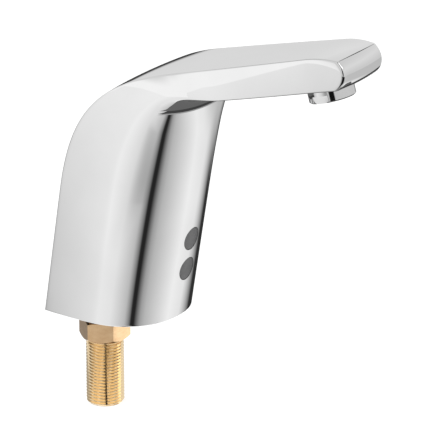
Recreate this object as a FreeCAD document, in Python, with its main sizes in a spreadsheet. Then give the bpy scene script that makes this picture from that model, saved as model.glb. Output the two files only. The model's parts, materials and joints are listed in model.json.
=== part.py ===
import FreeCAD, Part

import math
import os

import Sketcher
from FreeCAD import Placement, Rotation, Vector

# A touch-free basin tap. Origin: the axis of the inlet shank where it meets the deck.
# +Z is up, the spout reaches out along -Y, and X is the width. Millimetres and degrees.

os.makedirs("parts", exist_ok=True)
doc = FreeCAD.newDocument("sensor_tap")

# ---------------------------------------------------------------- driving dimensions
DIMENSIONS = {
    # cast body, seen from the side: "reach" is measured forward from the shank axis
    "back_reach": 17.0,
    "front_reach": 48.9,
    "back_lean": 8.36,
    "front_lean": 10.0,
    "top_slope": 14.22,
    "under_slope": 13.1,
    "top_height": 131.3,
    "under_height": 115.1,
    "bend_reach": 60.0,
    "bend_fullness": 0.737,
    "throat_radius": 9.0,
    "column_height": 72.0,
    "level_run": 24.1,
    "level_radius": 50.0,
    "nose_reach": 163.1,
    "nose_radius": 9.0,
    "nose_bow": 150.0,
    "nose_drop": 0.3,
    "wall": 3.0,
    # cast body, seen from above: half widths of the back edge and of the widest place
    "foot_edge": 32.7,
    "foot_half": 34.9,
    "column_edge": 31.9,
    "column_half": 32.8,
    "bend_edge": 30.8,
    "bend_half": 30.6,
    "shoulder_edge": 29.0,
    "shoulder_half": 29.3,
    "throat_edge": 27.0,
    "throat_half": 28.0,
    "root_edge": 25.9,
    "root_half": 26.8,
    "spout_edge": 21.1,
    "spout_half": 22.0,
    "tip_edge": 18.9,
    "tip_half": 19.9,
    # foot
    "gasket_thickness": 1.5,
    "plate_thickness": 5.0,
    "foot_clearance": 0.4,
    "pillar_margin": 0.6,
    "boss_radius": 5.6,
    "boss_height": 7.0,
    "boss_roof": 0.5,
    "rear_boss_side": 2.1,
    "rear_boss_reach": 6.0,
    "front_boss_side": 10.4,
    "front_boss_front": 15.7,
    "foot_screw_radius": 1.75,
    "foot_screw_head": 3.1,
    "foot_head_height": 2.4,
    "foot_screw_length": 8.5,
    "block_screw_length": 13.0,
    "frame_screw_length": 4.4,
    "frame_foot_out": 9.0,
    "frame_foot_reach": 39.5,
    "screw_clearance": 0.15,
    # inlet shank
    "thread_radius": 10.4775,
    "thread_depth": 1.162,
    "thread_pitch": 1.814,
    "thread_length": 38.0,
    "thread_chamfer": 1.2,
    "thread_flat": 0.3,
    "hex_flats": 24.8,
    "hex_height": 11.6,
    "hex_turn": 53.0,
    "hex_low_rise": 2.2,
    "hex_low_in": 0.8,
    "hex_high_drop": 0.9,
    "hex_high_out": 0.4,
    "neck_radius": 9.9,
    "neck_length": 11.0,
    "flange_radius": 12.3,
    "upper_thread_radius": 10.2,
    "thread_past_nut": 1.0,
    "plug_radius": 7.0,
    "plug_length": 9.0,
    "plug_clearance": 0.1,
    "shank_bore": 7.6,
    "riser_bore": 4.6,
    "locknut_flats": 24.0,
    "locknut_height": 4.5,
    "ring_section": 0.75,
    "ring_up": 3.6,
    "slip_fit": 0.05,
    "close_fit": 0.1,
    # check valve and strainer
    "cartridge_radius": 7.5,
    "cartridge_length": 17.0,
    "cartridge_below": 7.0,
    "cartridge_wall": 1.2,
    "check_seat_radius": 4.2,
    "check_disc_radius": 5.3,
    "check_disc_thickness": 1.8,
    "check_stem_radius": 1.2,
    "poppet_nose": 1.4,
    "poppet_nose_in": 1.0,
    "stem_short": 0.5,
    "guide_thickness": 2.0,
    "guide_hole_radius": 1.1,
    "guide_hole_margin": 0.2,
    "seat_thickness": 2.5,
    "running_clearance": 0.08,
    "seat_gap": 0.1,
    "spring_wire": 0.4,
    "check_spring_radius": 3.0,
    "strainer_length": 12.0,
    "strainer_radius": 5.4,
    "strainer_wall": 0.7,
    "strainer_rim": 1.5,
    "strainer_rim_radius": 8.1,
    "strainer_slot": 0.9,
    "strainer_margin": 1.0,
    "strainer_top": 1.5,
    # valve block
    "block_gap": 8.0,
    "block_height": 15.5,
    "block_half": 22.5,
    "block_back": 9.0,
    "block_front": 33.0,
    "pillar_radius": 3.4,
    "front_pillar_out": 13.0,
    "valve_out": -6.0,
    "valve_reach": 20.0,
    "seat_radius": 5.4,
    "outlet_bore": 3.4,
    "chamber_radius": 10.4,
    "chamber_depth": 6.5,
    "feed_bore": 2.6,
    "feed_below_top": 4.0,
    "feed_into_chamber": 1.0,
    "outlet_above_low": 4.5,
    "bonnet_pilot_depth": 7.5,
    # servo valve and solenoid
    "bonnet_half": 13.0,
    "bonnet_height": 10.4,
    "bonnet_roof": 3.0,
    "bonnet_screw_radius": 1.5,
    "bonnet_screw_head": 2.5,
    "bonnet_screw_out": 10.4,
    "bonnet_screw_cap": 2.2,
    "bonnet_screw_grip": 6.0,
    "bonnet_seal_section": 0.65,
    "bonnet_seal_in": 0.35,
    "washer_radius": 6.2,
    "valve_washer_thickness": 1.4,
    "piston_skirt": 1.5,
    "nozzle_height": 0.5,
    "piston_height": 3.6,
    "piston_hub": 3.0,
    "piston_neck": 2.1,
    "nozzle_radius": 1.8,
    "pilot_radius": 0.8,
    "plunger_radius": 3.52,
    "plunger_length": 13.0,
    "plunger_lift": 1.8,
    "tip_radius": 1.65,
    "tip_length": 1.6,
    "tip_pocket": 1.5,
    "spring_pocket": 4.0,
    "plunger_spring_radius": 2.2,
    "spring_room": 0.6,
    "pole_gap": 0.3,
    "tube_wall": 0.6,
    "tube_flange": 6.5,
    "tube_flange_thickness": 1.2,
    "pole_cap": 1.5,
    "tube_length": 21.0,
    "bobbin_wall": 0.9,
    "coil_radius": 9.6,
    "coil_height": 15.0,
    "coil_room": 0.3,
    "yoke_plate": 1.4,
    "yoke_half": 7.5,
    "clip_thickness": 0.9,
    # outlet hose
    "hose_radius": 4.0,
    "hose_bore": 2.9,
    "hose_socket_depth": 7.0,
    "hose_out": 16.5,
    "hose_reach": 12.0,
    "hose_ring_depth": 1.2,
    "hose_bend": 16.0,
    "hose_straight": 6.0,
    "hose_ring_back": 3.4,
    "nose_bore": 2.4,
    "nose_bore_rise": 24.0,
    # aerator
    "aerator_inset": 19.3,
    "aerator_drop": 7.66,
    "aerator_tilt": 16.0,
    "aerator_radius": 12.4,
    "aerator_skirt": 7.9,
    "aerator_flats": 23.0,
    "aerator_flat_height": 3.9,
    "aerator_thread_radius": 11.3,
    "aerator_thread_length": 6.6,
    "aerator_bore": 9.9,
    "aerator_lip": 1.2,
    "aerator_lip_in": 1.3,
    "aerator_chamfer": 0.6,
    "insert_thickness": 5.0,
    "insert_hole_radius": 0.75,
    "screen_thickness": 0.6,
    "washer_thickness": 1.8,
    "gasket_in": 1.5,
    "plenum_radius": 7.0,
    "plenum_height": 5.0,
    "socket_mouth": 5.0,
    "socket_clearance": 0.15,
    # sensor module: "up" is measured along the leaning front, "deep" square to it
    "window_radius": 6.2,
    "window_hole": 6.66,
    "upper_window_up": 46.8,
    "window_spacing": 18.1,
    "window_recess": 0.15,
    "window_flange": 7.4,
    "window_flange_thickness": 1.2,
    "module_half": 12.4,
    "module_low": 18.0,
    "module_high": 60.0,
    "module_front": 5.9,
    "module_back": 13.5,
    "module_wall": 1.2,
    "module_screw_low": 3.0,
    "module_screw_high": 4.0,
    "eye_radius": 4.8,
    "cover_thickness": 1.4,
    "cover_post_radius": 1.3,
    "cover_post_lap": 0.5,
    "board_thickness": 1.6,
    "board_deep": 10.4,
    "board_low": 5.5,
    "board_high": 6.5,
    "board_side_gap": 0.2,
    "board_rest_radius": 1.6,
    "board_rest_out": 8.0,
    "board_rest_low": 7.5,
    "board_rest_high": 8.5,
    "dome_gap": 0.3,
    "emitter_radius": 2.5,
    "receiver_half": 2.8,
    "receiver_lens": 1.4,
    "module_screw_radius": 1.25,
    "module_screw_head": 2.3,
    "module_head_height": 1.4,
    "sensor_screw_length": 8.5,
    # upright frame and battery
    "frame_plate": 2.0,
    "frame_half": 14.0,
    "frame_low": 4.2,
    "frame_high": 108.0,
    "frame_foot_thickness": 2.5,
    "frame_foot_ahead": 3.5,
    "frame_foot_behind": 6.0,
    "battery_half": 18.6,
    "battery_low": 70.0,
    "battery_high": 107.5,
    "battery_depth": 19.0,
    "battery_wall": 1.3,
    "battery_screw_in": 5.25,
    "battery_screw_grip": 1.0,
    "cell_radius": 8.5,
    "cell_tip_radius": 3.0,
    "cell_play": 0.4,
    "cell_tip_height": 1.0,
    "lid_thickness": 1.5,
    "contact_thickness": 0.5,
    "contact_half": 4.5,
    "clip_inset": 14.0,
    "clip_length": 6.0,
    "clip_wall": 1.0,
}

# where the body's sections stand: 0 foot, 1 column top, 2 throat, 3 spout end, 4 tip
KNOTS = [0.0, 1.0, 1.5, 1.8, 2.0, 2.25, 3.0, 4.0]
PLACES = ["foot", "column", "bend", "shoulder", "throat", "root", "spout", "tip"]
SIDE_SHARE = [0.478, 0.45, 0.46, 0.55, 0.75, 0.88, 0.90, 0.90]
FLANK_POWER = [2.15, 2.2, 2.3, 2.7, 3.4, 4.6, 5.0, 5.0]
FRONT_POWER = [2.25, 2.25, 2.3, 2.7, 3.4, 4.6, 5.0, 5.0]
CROWN = [1.0, 1.5, 1.5, 1.2, 0.8, 0.5, 0.4, 0.4]
LEVELLED = 0.84    # how much of the level run the levelling arc is long
THROAT_PLACE = 1.7  # the place where the throat arc starts
UNDER_RUN = 0.31   # how much longer the underside runs past that place


class Size:
    """A length or an angle: its value, and the sheet formula that it comes from."""

    def __init__(self, value, text):
        self.value = value
        self.text = text

    def __add__(self, other):
        other = size_of(other)
        return Size(self.value + other.value, f"({self.text} + {other.text})")

    def __sub__(self, other):
        other = size_of(other)
        return Size(self.value - other.value, f"({self.text} - {other.text})")

    def __mul__(self, other):
        other = size_of(other)
        return Size(self.value * other.value, f"({self.text} * {other.text})")

    def __truediv__(self, other):
        other = size_of(other)
        return Size(self.value / other.value, f"({self.text} / {other.text})")

    def __neg__(self):
        return size_of(0) - self

    def __radd__(self, other):
        return size_of(other) + self

    def __rsub__(self, other):
        return size_of(other) - self

    def __rmul__(self, other):
        return size_of(other) * self


def size_of(thing):
    """Turn a plain number into a Size, and leave a Size as it is."""
    return thing if isinstance(thing, Size) else Size(float(thing), f"({float(thing)})")


def sin(angle):
    return Size(math.sin(math.radians(angle.value)), f"sin({angle.text})")


def cos(angle):
    return Size(math.cos(math.radians(angle.value)), f"cos({angle.text})")


class Sheet:
    """The driving dimensions: each is a spreadsheet cell and a Size of the same name."""

    def __init__(self, dimensions):
        cells = doc.addObject("Spreadsheet::Sheet", "Sizes")
        for row, (name, value) in enumerate(dimensions.items(), 1):
            cells.set(f"A{row}", name.replace("_", " "))
            cells.set(f"B{row}", str(value))
            cells.setAlias(f"B{row}", name)
            setattr(self, name, Size(value, f"Sizes.{name}"))


D = Sheet(DIMENSIONS)
doc.recompute()
ZERO = size_of(0)

# how far tools run past what they cut, and fused pieces run into each other
OVERRUN = size_of(9.0)
OVERLAP = size_of(1.0)

# ---------------------------------------------------------------- small helpers


def place(thing, x=ZERO, y=ZERO, z=ZERO, tilt=None):
    """Put a piece at x, y, z, turned about the X direction by tilt."""
    if tilt is not None:
        thing.Placement = Placement(Vector(), Rotation(Vector(1, 0, 0), size_of(tilt).value))
        thing.setExpression("Placement.Rotation.Angle", size_of(tilt).text)
    for axis, size in zip("xyz", (x, y, z)):
        thing.setExpression(f"Placement.Base.{axis}", size_of(size).text)
    return thing


def rod(name, radius, length, x=ZERO, y=ZERO, z=ZERO, along="Z"):
    """A cylinder that starts at x, y, z and runs up one axis, or is tilted about X."""
    thing = doc.addObject("Part::Cylinder", name)
    thing.setExpression("Radius", size_of(radius).text)
    thing.setExpression("Height", size_of(length).text)
    turns = {"X": (Vector(0, 1, 0), 90), "Y": (Vector(1, 0, 0), -90), "Z": (Vector(1, 0, 0), 0)}
    if isinstance(along, Size):
        return place(thing, x, y, z, along)
    thing.Placement = Placement(Vector(), Rotation(*turns[along]))
    return place(thing, x, y, z)


def block(name, low, high):
    """A box between two corners, each three Sizes."""
    thing = doc.addObject("Part::Box", name)
    for side, a, b in zip(("Length", "Width", "Height"), low, high):
        thing.setExpression(side, (size_of(b) - size_of(a)).text)
    return place(thing, *low)


def six_sided(name, flats, height, z, turn=0.0):
    """A hexagonal prism of the given width across flats."""
    thing = doc.addObject("Part::Prism", name)
    thing.Polygon = 6
    thing.setExpression("Circumradius", (flats / math.sqrt(3)).text)
    thing.setExpression("Height", size_of(height).text)
    thing.Placement = Placement(Vector(), Rotation(Vector(0, 0, 1), 1))
    thing.setExpression("Placement.Rotation.Angle", size_of(turn).text)
    thing.setExpression("Placement.Base.z", size_of(z).text)
    return thing


def cut(name, base, *tools):
    thing = doc.addObject("Part::Cut", name)
    thing.Base = base
    thing.Tool = tools[0] if len(tools) == 1 else fuse(name + "_tools", *tools)
    return thing


def fuse(name, *things):
    thing = doc.addObject("Part::MultiFuse", name)
    thing.Shapes = list(things)
    return thing


def common(name, *things):
    thing = doc.addObject("Part::MultiCommon", name)
    thing.Shapes = list(things)
    return thing


def group(name, *things):
    """Several separate solids that share one name, as a set of equal screws does."""
    thing = doc.addObject("Part::Compound", name)
    thing.Links = list(things)
    return thing


def closed_outline(sketch, corners):
    """Draw a closed outline through corners, each held by the two Sizes it is given."""
    count = len(corners)
    points = [Vector(a.value, b.value, 0) for a, b in corners]
    for i in range(count):
        sketch.addGeometry(Part.LineSegment(points[i], points[(i + 1) % count]), False)
    for i in range(count):
        sketch.addConstraint(Sketcher.Constraint("Coincident", i, 2, (i + 1) % count, 1))
    for i, (a, b) in enumerate(corners):
        for kind, size in (("DistanceX", a), ("DistanceY", b)):
            index = sketch.addConstraint(Sketcher.Constraint(kind, -1, 1, i, 1, size.value))
            sketch.setExpression(f"Constraints[{index}]", size.text)


def origin_plane(body, role):
    return next(f for f in body.Origin.OriginFeatures if f.Role == role)


def sketch_on(body, name, role):
    sketch = body.newObject("Sketcher::SketchObject", name)
    sketch.AttachmentSupport = [(origin_plane(body, role), "")]
    sketch.MapMode = "FlatFace"
    return sketch


def turned(name, corners, x=ZERO, y=ZERO, z=ZERO, tilt=None):
    """A turned piece: an outline of (radius, height) corners spun about its own axis."""
    body = doc.addObject("PartDesign::Body", name)
    sketch = sketch_on(body, name + "_outline", "XZ_Plane")
    closed_outline(sketch, [(size_of(a), size_of(b)) for a, b in corners])
    spin = body.newObject("PartDesign::Revolution", name + "_spin")
    spin.Profile = sketch
    spin.ReferenceAxis = (sketch, ["V_Axis"])
    spin.Angle = 360
    return place(body, x, y, z, tilt)


def o_ring(name, radius, section, z, x=ZERO, y=ZERO):
    thing = doc.addObject("Part::Torus", name)
    thing.setExpression("Radius1", size_of(radius).text)
    thing.setExpression("Radius2", size_of(section).text)
    return place(thing, x, y, z)


def spring(name, radius, wire, length, turns, x=ZERO, y=ZERO, z=ZERO):
    """A coil spring: a round wire swept along a helix."""
    helix = doc.addObject("Part::Helix", name + "_helix")
    helix.setExpression("Radius", size_of(radius).text)
    helix.setExpression("Height", size_of(length).text)
    helix.setExpression("Pitch", (size_of(length) / turns).text)
    helix.SegmentLength = 0.5
    section = doc.addObject("Part::Circle", name + "_wire")
    section.setExpression("Radius", size_of(wire).text)
    section.Placement = Placement(Vector(), Rotation(Vector(1, 0, 0), 90))
    section.setExpression("Placement.Base.x", size_of(radius).text)
    coil = doc.addObject("Part::Sweep", name)
    coil.Sections = [section]
    coil.Spine = (helix, [])
    coil.Solid = True
    coil.Frenet = True
    return place(coil, x, y, z)


# ---------------------------------------------------------------- the cast body's form
# The body is one sweep. At each place s a flat section joins the outer line (the column's
# back, then the top) to the inner line (the column's front, then the underside).


def smooth_through(values, s):
    """A cubic through one value per knot that never overshoots them."""
    s = min(max(s, KNOTS[0]), KNOTS[-1])
    steps = [b - a for a, b in zip(KNOTS, KNOTS[1:])]
    rises = [(b - a) / h for a, b, h in zip(values, values[1:], steps)]
    slopes = [rises[0]]
    for left, right, h_left, h_right in zip(rises, rises[1:], steps, steps[1:]):
        if left * right <= 0:
            slopes.append(0.0)
        else:
            near, far = h_left + 2 * h_right, 2 * h_left + h_right
            slopes.append((near + far) / (near / left + far / right))
    slopes.append(rises[-1])
    i = max(k for k in range(len(steps)) if s >= KNOTS[k])
    t = (s - KNOTS[i]) / steps[i]
    return (
        values[i] * (1 + 2 * t) * (1 - t) ** 2
        + values[i + 1] * t * t * (3 - 2 * t)
        + slopes[i] * steps[i] * t * (1 - t) ** 2
        - slopes[i + 1] * steps[i] * t * t * (1 - t)
    )


def direction(degrees):
    """A unit step in the side view, at an angle above forward."""
    return Vector(math.cos(math.radians(degrees)), math.sin(math.radians(degrees)), 0)


def corner_of(foot, lean, height, slope):
    """Where a leaning line from the deck meets a sloping line given by its height."""
    lean, slope = math.tan(math.radians(lean)), math.tan(math.radians(slope))
    reach = (foot + lean * height) / (1 - lean * slope)
    return Vector(reach, height + slope * reach, 0)


def level_reach():
    return D.nose_reach.value - D.level_run.value


def outer_line(s):
    """The back and the top in the side view: line, soft bend, line, levelling arc."""
    lean, slope = D.back_lean.value, D.top_slope.value
    reach, height = D.bend_reach.value, D.top_height.value
    corner = corner_of(-D.back_reach.value, lean, height, slope)
    up, ahead = direction(90 - lean), direction(slope)
    foot, low, high = Vector(-D.back_reach.value, 0, 0), corner - up * reach, corner + ahead * reach
    level = level_reach()
    end = Vector(level, height + math.tan(math.radians(slope)) * level, 0)
    if s <= 1:
        return foot + (low - foot) * s
    if s <= 2:
        t, pull = s - 1, D.bend_fullness.value * reach
        return (
            low * (1 - t) ** 3
            + (low + up * pull) * (3 * (1 - t) ** 2 * t)
            + (high - ahead * pull) * (3 * (1 - t) * t * t)
            + high * t**3
        )
    if s <= 3:
        return high + (end - high) * (s - 2)
    radius = D.level_radius.value
    angle = 90 + slope - (s - 3) * math.degrees(D.level_run.value * LEVELLED / radius)
    return end - direction(90 + slope) * radius + direction(angle) * radius


def inner_line(s):
    """The front and the underside in the side view: line, throat arc, line."""
    lean, slope = D.front_lean.value, D.under_slope.value
    radius = D.throat_radius.value
    corner = corner_of(D.front_reach.value, lean, D.under_height.value, slope)
    turn = 90 - lean - slope
    set_back = radius * math.tan(math.radians(turn / 2))
    up, ahead = direction(90 - lean), direction(slope)
    below, beyond = corner - up * set_back, corner + ahead * set_back
    height = D.column_height.value
    foot = Vector(D.front_reach.value, 0, 0)
    column = foot + Vector(math.tan(math.radians(lean)) * height, height, 0)
    level = level_reach()
    end = Vector(level, D.under_height.value + math.tan(math.radians(slope)) * level, 0)
    if s <= 1:
        return foot + (column - foot) * s
    if s <= THROAT_PLACE:
        return column + (below - column) * ((s - 1) / (THROAT_PLACE - 1))
    if s <= 2:
        centre = below + direction(-lean) * radius
        turned_by = turn * (s - THROAT_PLACE) / (2 - THROAT_PLACE)
        return centre - direction(-lean - turned_by) * radius
    if s <= 3:
        return beyond + (end - beyond) * (s - 2)
    return end + (end - beyond) * (s - 3) * UNDER_RUN


def half_width(kind, s):
    return smooth_through([getattr(D, f"{place_}_{kind}").value for place_ in PLACES], s)


def section(s, inset):
    """One closed section: the crowned back edge, and the flanks and front as one curve."""
    start, end = outer_line(s), inner_line(s)
    across = (end - start).normalize()
    depth = (end - start).Length
    edge, half = half_width("edge", s) - inset, half_width("half", s) - inset
    widest = smooth_through(SIDE_SHARE, s) * depth
    front = depth - inset - widest
    flank, nose = smooth_through(FLANK_POWER, s), smooth_through(FRONT_POWER, s)
    crown = smooth_through(CROWN, s)

    def point(x, t):
        side = start + across * t
        return Vector(x, -side.x, side.y)

    outline = []
    for share in (0.0, 1 / 3, 2 / 3, 1.0):
        outline.append((half - (half - edge) * (1 - share) ** 2, inset + (widest - inset) * share))
    for angle in range(9, 91, 9):
        x = half * max(math.cos(math.radians(angle)), 0) ** (2 / flank) if angle < 90 else 0.0
        outline.append((x, widest + front * math.sin(math.radians(angle)) ** (2 / nose)))
    points = [point(x, t) for x, t in outline]
    points += [Vector(-p.x, p.y, p.z) for p in reversed(points[:-1])]
    back = Part.Arc(points[-1], point(0, inset - crown), points[0]).toShape()
    curve = Part.BSplineCurve()
    curve.interpolate(Points=points, Parameters=[i / (len(points) - 1) for i in range(len(points))])
    return Part.Wire([back, curve.toShape()])


def casting(name, inset, places):
    """The body's solid form between two places, drawn in by inset all round."""
    thing = doc.addObject("Part::Feature", name)
    thing.Shape = Part.makeLoft([section(s, size_of(inset).value) for s in places], True, False)
    return thing


BELOW_DECK = -0.04
CAVITY_END = 2.7
HOSE_END = 2.78


def even_places(low, high, step=7.0):
    """Places between two others, about one step of travel apart."""
    fine = [low + (high - low) * i / 400 for i in range(401)]
    travel = [0.0]
    for a, b in zip(fine, fine[1:]):
        outer, inner = (outer_line(b) - outer_line(a)).Length, (inner_line(b) - inner_line(a)).Length
        travel.append(travel[-1] + (outer + inner) / 2)
    count = max(round(travel[-1] / step), 2)
    marks = [travel[-1] * i / count for i in range(count + 1)]
    return [min(zip(travel, fine), key=lambda pair: abs(pair[0] - mark))[1] for mark in marks]


body_form = casting("body_form", 0, even_places(0.0, 4.3))
cavity_form = casting("cavity_form", D.wall, even_places(BELOW_DECK, CAVITY_END))
foot_form = casting("foot_form", D.wall + D.foot_clearance, [BELOW_DECK, 0.08, 0.2])
window_form = casting("window_form", D.window_recess, even_places(0.0, 1.0))

# ---------------------------------------------------------------- places and levels
plate_low = D.gasket_thickness
plate_top = plate_low + D.plate_thickness
block_low = plate_top + D.block_gap
block_top = block_low + D.block_height
tan_under = sin(D.under_slope) / cos(D.under_slope)


def front_at(x, deep, up):
    """A point given in the leaning front's own directions, as x, y, z."""
    reach = D.front_reach + up * sin(D.front_lean) - deep * cos(D.front_lean)
    return x, -reach, up * cos(D.front_lean) + deep * sin(D.front_lean)


INWARD = D.front_lean - 90
OUTWARD = D.front_lean + 90


def front_rod(name, radius, length, x, deep, up, way=INWARD):
    """A rod square to the leaning front."""
    return rod(name, radius, length, *front_at(x, deep, up), along=way)


def front_box(name, low, high):
    """A box whose sides follow the leaning front; corners are x, deep, up."""
    thing = block(name, low, high)
    return place(thing, *front_at(*low), tilt=D.front_lean)


def tube(name, outer, inner, length, x=ZERO, y=ZERO, z=ZERO, tilt=None):
    """A plain ring or sleeve."""
    return turned(name, [(inner, 0), (outer, 0), (outer, length), (inner, length)], x, y, z, tilt)


SOCKET_FLATS = 1.5    # a screw's socket, as shares of its shaft radius and head height
SOCKET_DEPTH = 0.6


def screw(name, radius, head_radius, head_height, length, spot, tilt=None):
    """A cap screw: its head lies below its own zero and its shaft above it."""
    head = rod(name + "_head", head_radius, head_height, z=-head_height)
    shaft = rod(name + "_shaft", radius, length)
    socket = six_sided(name + "_socket", radius * SOCKET_FLATS, head_height * SOCKET_DEPTH, -head_height)
    return place(cut(name, fuse(name + "_blank", head, shaft), socket), *spot, tilt=tilt)


def both_sides(x, spots):
    """Each (reach, height) once on either side, as x, y, z."""
    return [(side, -reach, z) for reach, z in spots for side in (x, -x)]


def ring_of(count, radius, x=ZERO, y=ZERO):
    """Evenly spaced points on a circle."""
    steps = [size_of(360.0 * i / count) for i in range(count)]
    return [(x + radius * cos(a), y + radius * sin(a)) for a in steps]


# ---------------------------------------------------------------- foot: plate, gasket, screws
rear_inner, front_inner = D.foot_edge - D.wall, D.foot_half - D.wall
boss_spots = (
    both_sides(rear_inner - D.rear_boss_side, [(D.rear_boss_reach, plate_top)])
    + both_sides(front_inner - D.front_boss_side, [(D.front_reach - D.front_boss_front, plate_top)])
)
pillar_in = D.pillar_radius + D.pillar_margin
pillar_spots = (
    both_sides(D.block_half - pillar_in, [(pillar_in - D.block_back, plate_top)])
    + both_sides(D.front_pillar_out, [(D.block_front - pillar_in, plate_top)])
)
frame_spots = both_sides(D.frame_foot_out, [(D.frame_foot_reach, plate_top)])
head_depth = D.foot_head_height + D.screw_clearance
head_seat = plate_low + head_depth


def level_with(spots, z):
    return [(x, y, z) for x, y, _ in spots]


def screw_holes(name, spots, radius, head_radius):
    """Holes through the plate with a recess from below for each head."""
    tools = []
    for i, (x, y, _) in enumerate(spots):
        tools.append(rod(f"{name}_hole_{i}", radius, plate_top, x, y))
        tools.append(rod(f"{name}_recess_{i}", head_radius, head_seat, x, y))
    return tools


def foot_slab(name, low, high):
    """A flat slice of the foot's inside outline."""
    wide = D.foot_half + OVERRUN
    slab = block(name + "_slab", (-wide, -(D.front_reach + OVERRUN), low),
                 (wide, D.back_reach + OVERRUN, high))
    return common(name, slab, foot_form)


free = D.screw_clearance
large_spots = boss_spots + pillar_spots
base_plate = cut(
    "base_plate",
    foot_slab("plate_outline", plate_low, plate_top),
    rod("plate_shank_hole", D.upper_thread_radius + D.close_fit, plate_top + OVERLAP),
    *screw_holes("plate_large", large_spots, D.foot_screw_radius + free, D.foot_screw_head + free),
    *screw_holes("plate_small", frame_spots, D.module_screw_radius + free, D.module_screw_head + free),
)
base_gasket = cut(
    "base_gasket",
    foot_slab("gasket_outline", ZERO, plate_low),
    rod("gasket_shank_hole", D.flange_radius + D.foot_clearance, plate_low),
    *[rod(f"gasket_hole_{i}", D.foot_screw_head + D.foot_clearance, plate_low, x, y)
      for i, (x, y, _) in enumerate(large_spots)],
    *[rod(f"gasket_small_{i}", D.module_screw_head + D.foot_clearance, plate_low, x, y)
      for i, (x, y, _) in enumerate(frame_spots)],
)
base_screws = group("base_screws", *[
    screw(f"base_screw_{i}", D.foot_screw_radius, D.foot_screw_head, D.foot_head_height,
          D.foot_screw_length, spot)
    for i, spot in enumerate(level_with(boss_spots, head_seat))
])
block_screws = group("block_screws", *[
    screw(f"block_screw_{i}", D.foot_screw_radius, D.foot_screw_head, D.foot_head_height,
          D.block_screw_length, spot)
    for i, spot in enumerate(level_with(pillar_spots, head_seat))
])
frame_screws = group("frame_screws", *[
    screw(f"frame_screw_{i}", D.module_screw_radius, D.module_screw_head, D.foot_head_height,
          D.frame_screw_length, spot)
    for i, spot in enumerate(level_with(frame_spots, head_seat))
])

# ---------------------------------------------------------------- inlet shank
hex_top = -D.neck_length
thread_top = hex_top - D.hex_height
shank_end = thread_top - D.thread_length
shank_screw_top = plate_top + D.locknut_height + D.thread_past_nut
plug_top = block_low + D.plug_length
groove_depth = D.ring_section * 2 - D.plug_clearance
groove_z = block_low + D.ring_up
groove_half = D.ring_section + D.socket_clearance
crest, root = D.thread_radius, D.thread_radius - D.thread_depth

shank_body = turned("shank_body", [
    (0, shank_end),
    (crest - D.thread_chamfer, shank_end),
    (crest, shank_end + D.thread_chamfer),
    (crest, thread_top),
    (D.neck_radius, thread_top),
    (D.neck_radius, 0),
    (D.flange_radius, 0),
    (D.flange_radius, plate_low),
    (D.upper_thread_radius, plate_low),
    (D.upper_thread_radius, shank_screw_top),
    (D.plug_radius, shank_screw_top),
    (D.plug_radius, groove_z - groove_half),
    (D.plug_radius - groove_depth, groove_z - groove_half),
    (D.plug_radius - groove_depth, groove_z + groove_half),
    (D.plug_radius, groove_z + groove_half),
    (D.plug_radius, plug_top),
    (0, plug_top),
])
groove_out = (D.thread_pitch - D.thread_flat) / 2
groove_in = D.thread_flat / 2
groove_over = size_of(0.3)
reach_out = groove_out + (groove_out - groove_in) * groove_over / D.thread_depth
first_groove = shank_end + D.thread_chamfer + D.thread_pitch / 2
groove_sketch = sketch_on(shank_body, "thread_groove_outline", "XZ_Plane")
closed_outline(groove_sketch, [
    (root, first_groove - groove_in),
    (crest + groove_over, first_groove - reach_out),
    (crest + groove_over, first_groove + reach_out),
    (root, first_groove + groove_in),
])
thread_groove = shank_body.newObject("PartDesign::Groove", "thread_groove")
thread_groove.Profile = groove_sketch
thread_groove.ReferenceAxis = (groove_sketch, ["V_Axis"])
thread_groove.Angle = 360
groove_count = int((D.thread_length.value - D.thread_chamfer.value) / D.thread_pitch.value)
grooves = shank_body.newObject("PartDesign::LinearPattern", "thread_grooves")
grooves.Originals = [thread_groove]
grooves.Direction = (groove_sketch, ["V_Axis"])
grooves.Occurrences = groove_count
grooves.setExpression("Length", (D.thread_pitch * (groove_count - 1)).text)
shank_body.Tip = grooves

hex_half = D.hex_flats / 2
past_corners = hex_half * 1.16
hex_blank = six_sided("hex_blank", D.hex_flats, D.hex_height, thread_top, D.hex_turn)
hex_chamfers = turned("hex_chamfers", [
    (0, thread_top),
    (hex_half - D.hex_low_in, thread_top),
    (past_corners, thread_top + D.hex_low_rise),
    (past_corners, hex_top - D.hex_high_drop),
    (hex_half + D.hex_high_out, hex_top),
    (0, hex_top),
])
inlet_shank = cut(
    "inlet_shank",
    fuse("shank_solid", shank_body, common("hex_nut", hex_blank, hex_chamfers)),
    rod("shank_bore_hole", D.shank_bore, -shank_end - D.cartridge_below, z=shank_end),
    rod("riser_hole", D.riser_bore, plug_top - shank_end, z=shank_end),
    rod("rim_seat", D.strainer_rim_radius + D.close_fit, D.strainer_rim, z=shank_end),
)
shank_locknut = cut(
    "shank_locknut",
    six_sided("locknut_blank", D.locknut_flats, D.locknut_height, plate_top),
    rod("locknut_hole", D.upper_thread_radius + D.slip_fit, D.locknut_height, z=plate_top),
)
shank_oring = o_ring("shank_oring", D.plug_radius + D.plug_clearance - D.ring_section,
                     D.ring_section, groove_z)

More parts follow.
